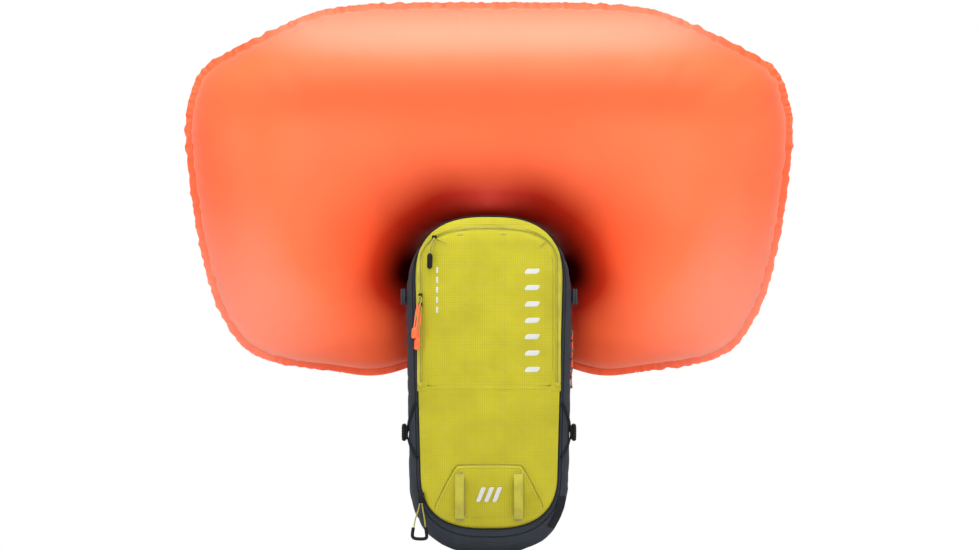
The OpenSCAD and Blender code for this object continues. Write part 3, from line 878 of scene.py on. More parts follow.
def build_stage():
    size = 6000
    world_fill = 0.45
    white = (1, 1, 1)
    n = Nodes(bpy.data.materials.new("pale_floor"))
    matte = n.node("ShaderNodeBsdfDiffuse", {"Color": shade(white, 0.8)})
    glow = n.node("ShaderNodeEmission", {"Color": white})
    both = n.node("ShaderNodeMixShader", {0: by_sight(n), 1: matte.outputs[0], 2: glow.outputs[0]})
    corners = [(-size, -size, -2), (size, -size, -2), (size, size, -2), (-size, size, -2)]
    add_mesh("studio_floor", corners, [(0, 1, 2, 3)], n.finish(both), body=None)

    world = bpy.data.worlds.new("studio_world")
    bpy.context.scene.world = world
    n = Nodes(world, "ShaderNodeOutputWorld")
    strength = n.node("ShaderNodeMix", {"Factor": by_sight(n), "A": world_fill, "B": 1.0})
    n.finish(n.node("ShaderNodeBackground",
                    {"Color": white, "Strength": strength.outputs["Result"]}))


def area_light(name, place, aim, size, power):
    light = bpy.data.lights.new(name, "AREA")
    light.shape = "RECTANGLE"
    light.size, light.size_y = size
    light.energy = power
    obj = bpy.data.objects.new(name, light)
    obj.location = place
    obj.rotation_euler = (Vector(aim) - Vector(place)).to_track_quat("-Z", "Y").to_euler()
    bpy.context.scene.collection.objects.link(obj)


def build_lights():
    area_light("top_softbox", (0, -1.0, 3.0), (0, 0.1, 0.7), (2.6, 1.6), 84)
    area_light("front_softbox", (0, -4.2, 1.9), (0, 0, 0.5), (3.0, 2.0), 72)
    for side, label in SIDES:
        area_light(label + "_softbox", (3.2 * side, -1.6, 1.2), (0, 0, 0.5), (1.2, 2.2), 26)
    area_light("rear_softbox", (0, 4.2, 0.9), (0, 0, 0.3), (3.0, 2.0), 40)


def build_camera():
    distance = 4.0
    view_width = 1.718
    view_middle = 0.4797
    sensor = 36
    lens = bpy.data.cameras.new("front_camera")
    lens.sensor_width = sensor
    lens.lens = sensor * distance / view_width
    lens.clip_end = 50
    camera = bpy.data.objects.new("front_camera", lens)
    camera.location = (0, -distance, view_middle)
    camera.rotation_euler = (math.radians(90), 0, 0)
    bpy.context.scene.collection.objects.link(camera)
    bpy.context.scene.camera = camera
    bpy.context.scene.view_settings.view_transform = "Standard"


# ---------- pack body ----------

def creased(p, out, amount, seed):
    """Moves a point along its outward direction by soft wrinkles."""
    x, y, z = p
    w = 0.6 * grain(x, y, z * 1.6, 46, seed) + 0.4 * grain(x, y * 0.5, z, 21, seed + 5)
    w -= 0.9 * bump(grain(x * 0.7, y * 0.4, z, 30, seed + 9), 0.0, 0.12)
    return tuple(c + amount * w * o for c, o in zip(p, out))


def ring_at(f, y, d=0.0, count=220):
    """Evenly spaced ring of the shell, a share f of the way to full width and shrunk by d."""
    return [(x, y, z) for x, z in resample(pack_ring(f, d), count, closed=True)]


def closing(ring, y, sizes):
    """Copies of a ring shrunk towards the pack's middle, which close the shell's back."""
    return [[(x * k, y, PACK_H / 2 + (z - PACK_H / 2) * k) for x, _, z in ring] for k in sizes]


def shell_rings():
    full = front_depth(1.0)
    edge = BACK_Y - ROUND_D
    stations = [(f, front_depth(f))
                for f in (0.0, 0.08, 0.18, 0.3, 0.42, 0.54, 0.66, 0.78, 0.88, 0.96, 1.0)]
    stations += [(1.0, mix(full, edge, f)) for f in shares(14)[1:]]
    stations += [(mix(1.0, 0.86, f ** 2), mix(edge, BACK_Y - 5, f)) for f in shares(5)[1:]]
    stations += [(0.78, BACK_Y - 1.5), (0.6, BACK_Y)]
    return [ring_at(f, y) for f, y in stations]


def build_shell():
    rings = shell_rings()
    middle = PACK_H / 2 - 2
    shaped = []
    for j, ring in enumerate(rings):
        strength = 1.1 * smooth(j / 6) * smooth((len(rings) - 1 - j) / 4)
        row = []
        for x, y, z in ring:
            out = Vector((x, 0, (z - middle) * 0.35)).normalized()
            low = 1 + 0.8 * smooth((260 - z) / 200)
            p = creased((x, y, z), out, strength * low, 4.0)
            row.append((p[0], p[1], 0.0 if z < 0.5 else max(p[2], 0.0)))
        shaped.append(row)
    lip = [ring_at(0, RIM_Y + 12, 5), ring_at(0, RIM_Y + 2, 3)]
    rings = lip + shaped + closing(rings[-1], BACK_Y, (0.6, 0.05))
    stand_for(loft("shell_cloth", rings, slate_cloth, flip=True), "slate_ripstop", "pack_shell")
    inner = [ring_at(f, y, 3.5)
             for f, y in ((0.55, BACK_Y - 4), (1, BACK_Y - ROUND_D), (1, front_depth(1)),
                          (0.45, front_depth(0.45)), (0, RIM_Y + 3))]
    rings = closing(inner[0], BACK_Y - 4, (0.05, 0.5)) + inner
    loft("shell_lining", rings, ink_cloth, caps=False, flip=True)


def face_relief(x, z):
    """Soft waves and creases of the lime cloth, in millimetres."""
    wave = 0.9 * grain(x * 0.5, 0, z, 42, 3.0) + 0.5 * grain(x, 0, z * 0.6, 19, 8.0)
    wave -= 0.3 * bump(grain(x * 0.6, 3, z, 36, 17.0), 0.0, 0.14)
    wave += 2.4 * bump(z, DOOR_TOP - 14, 15) * smooth((106 - abs(x)) / 34)
    return wave * mix(0.6, 1.0, smooth((z - 60) / 60))


def cloth_lift(x, z):
    return SHEET + CLOTH + face_relief(x, z)


def over_cloth(rise):
    """The lift of something that lies a little above the lime cloth."""
    return lambda x, z: cloth_lift(x, z) + rise


def edge_drop(p, edge):
    """How far the cloth rolls down near a cut edge; it stays flush along the hinge."""
    return 2.2 * (1 - smooth(math.dist(p, edge) / 5)) * smooth((edge[1] - HINGE_Z - 4) / 14)


def build_front_panel():
    count = 300
    rows = 52
    hole = resample(door_ring(ZIP_GAP - 1.5), count, closed=True)
    edge = resample(face_ring(0.5), count, closed=True)
    rings = [face_line(hole, -2.5)]
    for k in range(rows):
        ring = []
        for a, b in zip(hole, edge):
            p = mix_point(a, b, (k / rows) ** 1.15)
            drop = edge_drop(p, a) + 1.6 * (1 - smooth(math.dist(p, b) / 9))
            ring.append(face_at(*p, cloth_lift(*p) - drop))
        rings.append(ring)
    rings.append(face_line(edge, 1.0))
    rings.append(face_line([(x * 0.985, mix(z, FACE_MID, 0.012)) for x, z in edge], -2.0))
    piece = loft("front_panel_cloth", rings[::-1], lime_cloth, caps=False)
    stand_for(piece, "lime_ripstop", "front_panel")


def build_face_seams():
    hinge = face_line([(x, HINGE_Z) for x in range(-116, 117, 4)], over_cloth(-0.1))
    sweep("hinge_tape", hinge, flat_section(6, 0.6), lime_cloth, across=ALONG_Z)
    garage = box_ring(DOOR_HALF - 8, DOOR_HALF + ZIP_GAP + 1.5, HINGE_Z - 7, HINGE_Z + 9, 3)
    for side, label in SIDES:
        pad("zip_garage_" + label, on_side(garage, side),
            lambda x, z, h: face_at(x, z, cloth_lift(x, z) - 0.9 + h),
            1.6, lime_cloth, 10, 60, roll=0.35)
    piping = face_line(resample(face_ring(-0.8), 300, closed=True), 0.6)
    sweep("face_edge_piping", piping, circle(1.3), ink_cloth, closed=True)
    seam = ring_at(0.3, front_depth(0.3) - 0.4, -0.2, 300)
    sweep("shell_edge_seam", seam, circle(0.7, 6), ink_cloth, closed=True)


def build_door():
    rows = 46
    ring = resample(door_ring(1.2), 300, closed=True)
    middle = (0, (HINGE_Z + DOOR_TOP) / 2)
    rings = [face_line(ring, -1.5)]
    for k in range(rows):
        row = []
        for edge in ring:
            p = mix_point(edge, middle, 0.995 * k / rows)
            row.append(face_at(*p, cloth_lift(*p) - edge_drop(p, edge)))
        rings.append(row)
    piece = loft("front_door_cloth", rings, lime_cloth, "door")
    stand_for(piece, "lime_ripstop", "front_door")
    line = resample(door_ring(-4.5), 400, closed=True)
    seam = [p for p in line if p[0] > 0 and HINGE_Z + 28 < p[1] < DOOR_TOP - 42]
    sweep("door_side_seam", face_line(seam, over_cloth(0.05)), circle(0.5, 6), lime_dark_and_shadow, "door")
    # Painted crease shadows: short dark lime tubes, thickest in the middle, laid on the cloth at the
    # top corners and along the top seam.
    crease_shadows = []
    for start, end in (((-97, 545), (-72, 532)), ((99, 538), (87, 527)),
                       ((-56, 548), (-44, 549)), ((19, 549), (31, 549))):
        line = [mix_point(start, end, f) for f in shares(8)]
        crease_shadows.append(sweep_parts(face_line(line, over_cloth(0.1)), circle(0.8),
                                   grow=lambda f: 0.2 + 3.2 * f * (1 - f)))
    gather("door_crease_shadows", crease_shadows, lime_dark_and_shadow, "door")


def pocket_ring():
    foot = 0.12 * PACK_H
    top = 0.266 * PACK_H
    right = [
        (0, foot - 8), (50, foot - 6), (86, foot), (93, foot + 6), (90, foot + 18),
        (74, mix(foot, top, 0.6)), (60, top - 8), (54, top - 1), (30, top), (0, top),
    ]
    return right + [(-x, z) for x, z in right[-2:0:-1]]


def build_pocket():
    focus = 60

    def place(x, z, h):
        sag = 0.8 * grain(x, 0, z, 24, 40.0) * smooth(h / 4)
        return face_at(x, z, SHEET + 0.9 + (h + sag) * mix(0.35, 1.0, smooth((z - 66) / 60)))

    def round_focus(line, k, lift):
        return face_line([(x * k, focus + (z - focus) * k) for x, z in line], SHEET + lift)

    ring = resample(pocket_ring(), 200, closed=True)
    piece = pad("lower_pocket_cloth", ring, place, 6.0, lime_cloth, 26, 200)
    stand_for(piece, "lime_ripstop", "lower_pocket")
    top = [p for p in ring if p[1] > 0.135 * PACK_H]
    top.sort(key=lambda p: math.atan2(p[0], p[1] - focus))
    sweep("pocket_seam", round_focus(top, 1.012, 1.4), circle(0.7, 6), lime_dark_and_shadow)
    gather("pocket_stitches", stitch_parts(round_focus(top, 0.955, 5.6), 3.2, 1.8, 0.32), lime_seam)


def build_tool_loops():
    low = 0.1 * PACK_H
    high = 0.248 * PACK_H
    bands = []
    edge_shadows = []
    tacks = []
    for side, _ in SIDES:
        x = 50 * side
        path = []
        for f in shares(24):
            bow = math.sin(math.pi * clamp((f - 0.06) / 0.88)) ** 0.7
            sewn = 2.2 if f in (0, 1) else 0
            path.append(face_at(x, mix(low, high, f), SHEET + 7.4 + 6.0 * bow - sewn))
        bands.append(tape_parts(path, 16, 1.5, ALONG_X))
        # Painted shadow: a thin dark lime strip at each loop's inner edge, where the standing loop
        # shades the pocket.
        inner = [moved(p, (-7.6 * side, 0.2, 0)) for p in path[3:22]]
        edge_shadows.append(tape_parts(inner, 1.8, 2.2, ALONG_X))
        for z in (low + 1.5, high - 1.5):
            for step in (-1.4, 0, 1.4):
                row = face_line([(x + u, z + step) for u in (-7, -3, 3, 7)], SHEET + 8.6)
                tacks += stitch_parts(row, 1.6, 0.5, 0.45)
    stand_for(gather("tool_loop_webbing", bands, lime_tape), "lime_ripstop", "tool_loops")
    gather("tool_loop_edge_shadows", edge_shadows, lime_dark_and_shadow)
    gather("tool_loop_bartacks", tacks, lime_seam)


# ---------- zips and pulls ----------

MAIN_X = -(DOOR_HALF + ZIP_GAP / 2)
UPPER_Z = 0.765 * PACK_H
LOWER_Z = 0.738 * PACK_H
TOP_X = -0.74 * FACE_HALF
TOP_Z = DOOR_TOP - 13
CORNER_X = -0.92 * FACE_HALF
CORNER_Z = 0.185 * PACK_H


def zip_line(low, lift, count):
    """The inverted U between door and panel, from a height up."""
    ring = resample(door_ring(ZIP_GAP / 2), 400, closed=True)
    return resample(face_line([p for p in ring if low < p[1] <= PACK_H], lift), count)


def build_zips():
    line = zip_line(HINGE_Z + 5, 1.3, 260)
    across = [Vector((x / DOOR_HALF, 0, 1.3 * smooth((z - 480) / 70))) for x, _, z in line]
    tape = sweep("zip_tape", line, flat_section(ZIP_GAP + 3, 0.9), lime_tape, across=across)
    stand_for(tape, "lime_ripstop", "main_zip_tape", "top_zip_tape")
    coil = zip_line(HINGE_Z + 8, 2.0, 300)
    gather("zip_coil", stitch_parts(coil, 1.5, 0.7, 0.75), lime_dark_and_shadow)


def build_slider(label, node, x, z, w, h):
    """Slider with its bail, which runs along the slider's longer side."""
    y = front_y(x, z) - 4.2
    parts = [soft_box((x - w / 2, y - 2.6, z - h / 2), (x + w / 2, y + 0.4, z + h / 2), 1.1)]
    reach_x, reach_z = (0.1, 0.32 * h) if h > w else (0.32 * w, 0.1)
    bail = []
    for f in shares(9):
        c, s = math.cos(math.pi * f), math.sin(math.pi * f)
        bail.append((x + reach_x * c, y - 2.4 - 1.9 * s, z + reach_z * c))
    parts.append(sweep_parts(bail, circle(0.7)))
    piece = gather("zip_slider_" + label, parts, black_plastic, "zip_" + label)
    stand_for(piece, "black_plastic", node)


def grip_parts(top, drop, w, t, lean):
    """Moulded grip: short shoulder, straight ribbed sides, rounded end."""
    stations = []
    for f in shares(22)[::-1]:
        tip = max(0.15, 1 - max(0.0, (f - 0.84) / 0.16) ** 2.5)
        k = mix(0.55, 1.0, smooth(f / 0.16)) * tip
        rib = 1 - 0.08 * math.sin(f * 40) ** 2 * smooth((f - 0.2) / 0.1) * smooth((0.85 - f) / 0.1)
        stations.append((-drop * f, w / 2 * k, t / 2 * k * rib, min(w, t) * 0.45 * k, lean * f))
    return stack_parts(stations, top)


def build_pull(label, node, x, z, drop, lift, lean, cord, rubber, slot, width, length):
    """Lime loop through the slider's bail, a doubled cord from it, and a grip on the cord."""
    name = "zip_pull_" + label
    body = "zip_" + label + "_pull"
    y = front_y(x, z) - lift
    root = front_y(x, z) - 9.7
    loops = []
    doubled = []
    for side, _ in SIDES:
        loops.append(cord_parts([
            (x, root + 3.2, z + 1.5), (x + side * 2.8 + lean * 0.08, mix(root, y, 0.45), z - 5),
            (x + side * 1.8 + lean * 0.3, mix(root, y, 0.85), z - drop * 0.3)], 14, 1.1))
        doubled.append(cord_parts([
            (x + side * 1.8 + lean * 0.25, mix(root, y, 0.8), z - drop * 0.22),
            (x + side * 2.2 + lean * 0.55, y, z - drop * 0.55),
            (x + side * 1.4 + lean, y, z - drop - 2)], 16, 1.3))
    gather(name + "_loop", loops, lime_cord, body)
    gather(name + "_cord", doubled, cord, body)
    grip = grip_parts((x + lean, y, z - drop + 1), length + 1, width, 6, lean * 0.12)
    stand_for(gather(name, [grip], rubber, body), slot, node)


def build_sliders():
    for label, z, drop, lift, lean in (("upper", UPPER_Z, 54, 20.5, -9),
                                       ("lower", LOWER_Z, 58, 12.5, -5)):
        build_slider(label, "main_slider_" + label, MAIN_X, z, 6, 9)
        build_pull(label, "main_pull_" + label, MAIN_X, z - 1, drop, lift, lean,
                   coral_cord, coral_rubber, "coral_plastic", width=10, length=18)
    build_slider("top", "top_slider", TOP_X, TOP_Z + 2, 8, 6)
    build_pull("top", "top_pull", TOP_X, TOP_Z - 1, 26, 14.5, -7,
               lime_cord, black_plastic, "black_plastic", width=9, length=26)


def build_corner_leash():
    x = CORNER_X
    z = CORNER_Z
    y = RIM_Y - 13
    body = [soft_box((x - 5, y - 3.6, z - 19), (x + 5, y + 3.6, z), 2.2)]
    for h in (z - 6, z - 10, z - 14):
        body.append(soft_box((x - 4, y - 4.4, h - 1), (x + 4, y - 3, h + 1), 0.6))
    tube = [(x - 13, z - 61), (x - 14.5, z - 71), (x - 14, z - 77), (x - 9, z - 80),
            (x + 4, z - 80.5), (x + 9.5, z - 78), (x + 9.5, z - 70), (x + 8, z - 60)]
    body.append(sweep_parts(spline([(u, y, v) for u, v in tube], 50), circle(2.9, 12)))
    stand_for(gather("corner_leash_grip", body, black_plastic, "corner_leash"),
              "black_plastic", "corner_pull")
    cords = []
    for top, foot in ((x - 1.5, x - 13), (x + 1.5, x + 8.2)):
        cords.append(cord_parts([
            (top, y, z - 16), (mix(top, foot, 0.25), y - 1.2, z - 30),
            (mix(top, foot, 0.7), y - 0.5, z - 47), (foot, y, z - 66)], 18, 1.1))
    gather("corner_leash_cords", cords, lime_cord, "corner_leash")


# ---------- side straps and buckles ----------

def shell_strip_parts(places, width, thick, side):
    """Strip lying on the shell's rounded front edge through (z, share) places."""
    path = [shell_at(z, f, 0.8 + thick / 2, side) for z, f in places]
    across = []
    for i, (z, f) in enumerate(places):
        ahead = Vector(path[min(i + 1, len(path) - 1)]) - Vector(path[max(i - 1, 0)])
        out = Vector((side * f, -math.sqrt(max(0.0, 1 - f * f)), 0))
        across.append(out.cross(ahead).normalized())
    return tape_parts(path, width, thick, across)


def build_side_straps():
    front = RIM_Y + ROUND_D + 2
    back = BACK_Y - ROUND_D
    tacks = []
    for label, z, drop in (("upper", UPPER_STRAP_Z, -10), ("lower", LOWER_STRAP_Z, 8)):
        parts = []
        for side, _ in SIDES:
            line = []
            for f in shares(30):
                ripple = 0.5 * math.sin(f * 19 + side) + 0.5 * grain(f * 30, z, side, 9)
                line.append(side_at(z + drop * f, mix(front, back, f), 2.0 + 0.5 * ripple, side))
            parts.append(tape_parts(line, 15, 1.6))
        stand_for(gather("side_straps_" + label + "_webbing", parts, slate_tape),
                  "black_webbing", "side_straps_" + label)
    edges = []
    for side, _ in SIDES:
        for bend, end in ((7, 52), (-7, -42)):
            places = [(LOWER_STRAP_Z + mix(bend, end, f), mix(0.995, 0.2, f ** 1.4))
                      for f in shares(14)]
            edges.append(shell_strip_parts(places, 6, 1.4, side))
        for z in (UPPER_STRAP_Z - 10, LOWER_STRAP_Z + 8):
            for y in (back - 6, back - 4, back - 2):
                row = [side_at(z + u, y, 3.1, side) for u in (-6, -2, 2, 6)]
                tacks += stitch_parts(row, 1.6, 0.5)
    gather("side_edge_straps", edges, ink_cloth)
    patch = [(mix(98, 44, f), mix(0.52, 0.72, f)) for f in shares(14)]
    gather("corner_patch", [shell_strip_parts(patch, 17, 1.0, 1)], ink_cloth)
    gather("side_strap_bartacks", tacks, ink_cloth)


def ladder_buckle_parts(x, y0, y1, z, h, w):
    """Ladder buckle seen edge on: two cheeks with three bars between them."""
    parts = []
    for lo, hi in ((0, 0.42 * w), (0.58 * w, w)):
        parts.append(soft_box((x + lo, y0, z - h / 2), (x + hi, y1, z + h / 2), 1.5))
    for y in (y0 + 3, (y0 + y1) / 2, y1 - 3):
        parts.append(soft_box((x + 0.3 * w, y - 1.6, z - h / 2 + 2),
                              (x + 0.7 * w, y + 1.6, z + h / 2 - 2), 0.8))
    return parts


def round_buckle_parts(x, y0, y1, z, h, w):
    """Rounded hook buckle: a full body, a thin plate behind it and grip ribs on its face."""
    parts = [soft_box((x + 0.2 * w, y0, z - h / 2), (x + w, y1, z + h / 2), 0.38 * w, steps=6),
             soft_box((x - 0.5, y0 - 1, z - h / 2 + 3), (x + 0.3 * w, y1 + 3, z + h / 2 - 3), 1.2)]
    for k in (-1.5, -0.5, 0.5, 1.5):
        at = z + 4.2 * k
        parts.append(soft_box((x + 0.88 * w, y0 + 4, at - 0.9), (x + w + 0.6, y1 - 4, at + 0.9), 0.6))
    return parts


def build_buckles():
    edge = RIM_Y + ROUND_D
    for label, form, z, h, w, material, slot in (
        ("upper", ladder_buckle_parts, UPPER_STRAP_Z, 28, 8, slate_plastic, "slate_plastic"),
        ("lower", round_buckle_parts, LOWER_STRAP_Z, 30, 10, black_plastic, "black_plastic"),
    ):
        parts = form(reach(z) + 1, edge - 16, edge + 2, z, h, w)
        piece = gather("side_buckles_" + label, parts + mirrored(parts, -1), material)
        stand_for(piece, slot, label + "_buckles")


def build_side_cord():
    low = 0.49 * PACK_H
    turns = [side_at(low + 16 * i, -22 if i % 2 == 0 else 8, 2.8) for i in range(7)]
    piece = sweep("compression_cord", spline(turns, 120), circle(1.5), coral_cord)
    stand_for(piece, "coral_cord", "side_cord")
    tabs = []
    for i, turn in enumerate(turns):
        out = -1 if i % 2 == 0 else 1
        line = [moved(turn, (x, out * y, 0))
                for x, y in ((-2.4, 9), (-1.8, 4), (0.9, 0.5), (1.0, -1.6), (-1.4, -2.4))]
        tabs.append(tape_parts(spline(line, 16), 5, 0.9))
    gather("cord_tabs", tabs, slate_tape)


# ---------- reflective marks ----------

def row_of_marks(name, number, at, step, size, slant, place, body="door", rows=6, count=40):
    """Rounded slanted bars, each a step on from the one before."""
    bar = rounded_rect(size[0] / 2, size[1] / 2, min(size) * 0.35)
    for i in range(number):
        x, z = moved(at, (step[0] * i, step[1] * i))
        ring = [(x + u + slant * v, z + v) for u, v in bar]
        pad("%s_%d" % (name, i + 1), ring, place, 0.5, reflective, rows, count, body, roll=0.3)


def build_marks():
    def on_door(x, z, h):
        return face_at(x, z, cloth_lift(x, z) + h - 0.1)

    def on_pocket(x, z, h):
        return face_at(x, z, SHEET + 7.0 + h)

    row_of_marks("reflective_dash", 7, (74, 318), (0, 28), (24, 9), 0.55, on_door)
    row_of_marks("reflective_tick", 5, (-89, 420), (0, 17), (3.2, 11), 0.0, on_door, rows=5, count=28)
    row_of_marks("pocket_dash", 3, (-14, 104), (14, 0), (8, 26), 0.4, on_pocket, "pack", count=36)


# ---------- padding swollen by cloth simulation ----------

def apply_modifiers(piece):
    bpy.context.view_layer.update()
    graph = bpy.context.evaluated_depsgraph_get()
    mesh = bpy.data.meshes.new_from_object(piece.evaluated_get(graph), depsgraph=graph)
    piece.modifiers.clear()
    piece.data = mesh


def swell(piece, cap, voxel=5.0, pressure=4.0, frames=20):
    """Blows a pad up by cloth simulation; no point moves further than the cap, in millimetres."""
    scene = bpy.context.scene
    remesh = piece.modifiers.new("even", "REMESH")
    remesh.mode = "VOXEL"
    remesh.voxel_size = voxel * MM
    apply_modifiers(piece)
    scene.frame_set(1)
    before = [v.co.copy() for v in piece.data.vertices]
    settings = piece.modifiers.new("swell", "CLOTH").settings
    settings.use_pressure = True
    settings.uniform_pressure_force = pressure
    settings.effector_weights.gravity = 0
    scene.frame_end = frames
    for frame_number in range(1, frames + 1):
        scene.frame_set(frame_number)
    graph = bpy.context.evaluated_depsgraph_get()
    after = [v.co.copy() for v in piece.evaluated_get(graph).data.vertices]
    piece.modifiers.clear()
    for vertex, a, b in zip(piece.data.vertices, before, after):
        step = b - a
        vertex.co = a + step * min(1.0, cap * MM / max(step.length, 1e-9))
    piece.modifiers.new("finer", "SUBSURF").levels = 1
    apply_modifiers(piece)
    scene.frame_set(1)
    piece.data.polygons.foreach_set("use_smooth", [True] * len(piece.data.polygons))


def back_cushion(name, node, ring, y, height, grooves, cap=0.0):
    """Knit pad on the wearer's side with a bound edge. It is swollen by simulation if it has a cap,
    then pressed along its grooves, each given as the axis it is measured on and its place there."""
    piece = pad(name, ring, lambda x, z, h: (x, y + h, z), height - cap, knit, 24, 160, flip=False)
    if cap:
        swell(piece, cap)
    for vertex in piece.data.vertices:
        x, rise, z = (c / MM for c in vertex.co)
        h = max(0.0, rise - y)
        dent = sum(bump(z if axis == "Z" else x, at, 4.5) for axis, at in grooves)
        puff = 0.5 * grain(x, 0, z, 22, 60.0) * smooth(h / 6)
        vertex.co.y = (y + max(0.0, h * (1 - 0.55 * min(1.0, dent)) + puff)) * MM
    stand_for(piece, "padding", node)
    edge = [(x, y + 1.2, z) for x, z in resample(ring, 160, closed=True)]
    sweep(name + "_binding", edge, circle(1.7), black_tape, closed=True)


# ---------- back and harness ----------

def build_back():
    y = BACK_Y + 6.6
    back_cushion("back_panel_knit", "back_panel", pack_ring(0.6, 10), BACK_Y + 0.2, 6,
                 [("X", 0), ("X", -108), ("X", 108)])
    for side, label in SIDES:
        ring = on_side(box_ring(22, 98, 0.48 * PACK_H, 0.84 * PACK_H, 20), side)
        back_cushion("back_pad_" + label, "back_pads", ring, y, 12, [("Z", 350), ("Z", 418)], cap=4)
    ring = box_ring(-84, 84, 0.12 * PACK_H, 0.33 * PACK_H, 34)
    back_cushion("lumbar_pad_knit", "lumbar_pad", ring, y, 18,
                 [("X", 0), ("X", -42), ("X", 42)], cap=6)
    ring = box_ring(-92, 92, STRAP_Z - 26, STRAP_Z + 20, 12)
    back_cushion("yoke_pad", "shoulder_yoke", ring, y, 4, [])
    stitches = []
    for z in (STRAP_Z - 18, STRAP_Z - 14, STRAP_Z + 12):
        stitches += stitch_parts([(x, y + 4.2, z) for x in (-86, -40, 0, 40, 86)])
    gather("yoke_stitches", stitches, slate_tape)


def build_handle():
    y = BACK_Y + 19
    arch = [(-42 * math.cos(math.pi * f), y, STRAP_Z + 16 + 30 * math.sin(math.pi * f))
            for f in shares(32)]
    parts = [sweep_parts(arch, lambda f: cushion_section(14, 3 + 3.2 * bump(f, 0.5, 0.3), 2.4),
                         across=ALONG_Y)]
    for side, _ in SIDES:
        foot = [(side * 42, y, STRAP_Z + 19), (side * 42, y - 1, STRAP_Z + 10),
                (side * 41, y - 4, STRAP_Z - 4), (side * 40, y - 6, STRAP_Z - 14)]
        parts.append(tape_parts(spline(foot, 14), 14, 2, ALONG_X))
    stand_for(gather("carry_handle_webbing", parts, black_tape), "black_webbing", "carry_handle")


def edge_bindings(middle, widths, axis):
    """Round tapes along both edges of a padded band, whose width is measured on an axis."""
    parts = []
    for edge in (-1, 1):
        line = []
        for f, p in zip(shares(len(middle) - 1), middle):
            offset = edge * (between(widths, f) / 2 - 1.5)
            line.append(moved(p, [offset * a for a in axis]))
        parts.append(sweep_parts(line, circle(2.2)))
    return parts


# Middle line of the right shoulder strap from the yoke down, and its width at even steps.
STRAP_CURVE = [
    (0, 0, 4), (0, 16, 4), (-4, 38, -14), (-6, 54, -50), (-5, 58, -110),
    (0, 54, -180), (8, 44, -240), (14, 32, -290),
]
STRAP_WIDTHS = [62, 62, 60, 58, 54, 50, 46, 40]
STRAP_LAST = 89


def build_straps():
    for side, label in SIDES:
        body = "strap_" + label
        line = [(side * (STRAP_X + x), STRAP_Y + y, STRAP_Z + z) for x, y, z in STRAP_CURVE]
        middle = spline(line, STRAP_LAST + 1)

        def section(f):
            uneven = 1 + 0.05 * grain(round(f * STRAP_LAST), side, 0, 7)
            return cushion_section(between(STRAP_WIDTHS, f) - 3, 11 * uneven)

        piece = sweep("shoulder_strap_pad_" + label, middle, section, knit, body, across=ALONG_X)
        stand_for(piece, "padding", "shoulder_strap_" + label)
        gather("strap_binding_" + label, edge_bindings(middle, STRAP_WIDTHS, ALONG_X),
               black_tape, body)
        top = [tuple(p - up * (6.6 * side))
               for p, _, up in frames_along(middle, across=(side, 0, 0))]
        band = top[8:82]
        bars = []
        for x, y, z in band[6:-4:8]:
            bars += stitch_parts([(x + u, y, z) for u in (-9, -4, 4, 9)], 1.8, 0.3, 0.9)
        gather("strap_bartacks_" + label, bars, ink_cloth, body)
        sweep("strap_band_" + label, band, flat_section(20, 1.4), slate_tape, body, across=ALONG_X)


def build_webbing():
    foot = moved((STRAP_X, STRAP_Y - 2, STRAP_Z - 6), STRAP_CURVE[-1])

    def from_foot(*steps):
        return [moved(foot, step) for step in steps]

    line = from_foot((0, 1, 4), (1, -4, -30), (2, -10, -70), (3, -13, -100))
    fold = from_foot((3, -13, -99), (3, -15, -101.5), (3, -15.4, -97), (2.7, -13.6, -84))
    tapes = [tape_parts(spline(line, 40), 24, 1.8, ALONG_X),
             tape_parts(spline(fold, 16), 24, 1.6, ALONG_X)]
    rails = [soft_box(*from_foot((x, -9, -40), (x + 4, -4.6, -14)), 1.2) for x in (-16, 14)]
    rails += [soft_box(*from_foot((-15, -8.6, z), (17, -5.6, z + 4)), 1.2) for z in (-40, -29, -18)]
    rails.append(soft_box(*from_foot((-13, -9.8, -44), (15, -7.4, -38)), 1.1))
    pair("strap_webbing_", tapes, black_tape, "strap_", "black_webbing", "webbing_")
    pair("ladder_lock_", rails, black_plastic, "strap_")


def clip_parts(lo, hi, prongs):
    """Half of a side release clip: a rounded body with ribs, and either prongs or a window."""
    (x0, y0, z0), (x1, y1, z1) = lo, hi
    mid = (z0 + z1) / 2
    span = z1 - z0
    painted_shade_ramp = y1 - y0
    nose = mix(x0, x1, 0.4)
    parts = [soft_box((mix(x0, x1, 0.3), y0, z0), hi, min(3, 0.3 * painted_shade_ramp))]
    for k in (0.74, 0.84, 0.94):
        at = mix(x0, x1, k)
        parts.append(soft_box((at - 1, y0 - 0.5, mid - 0.36 * span),
                              (at + 1, y1 + 0.5, mid + 0.36 * span), 0.8))
    if prongs:
        w = 0.07 * span
        for z in (mid - 0.36 * span, mid, mid + 0.36 * span):
            parts.append(soft_box((x0, y0 + 0.25 * painted_shade_ramp, z - w), (nose, y1 - 0.25 * painted_shade_ramp, z + w), 0.9))
    else:
        w = 0.1 * span
        for z in (z0 + w, z1 - w):
            parts.append(soft_box((x0, y0, z - w), (nose, y1, z + w), 1.2))
        for y in (y0 + 0.8, y1 - 0.8):
            parts.append(soft_box((x0 + 1, y - 0.8, mid - 2 * w), (nose, y + 0.8, mid + 2 * w), 0.7))
    return parts


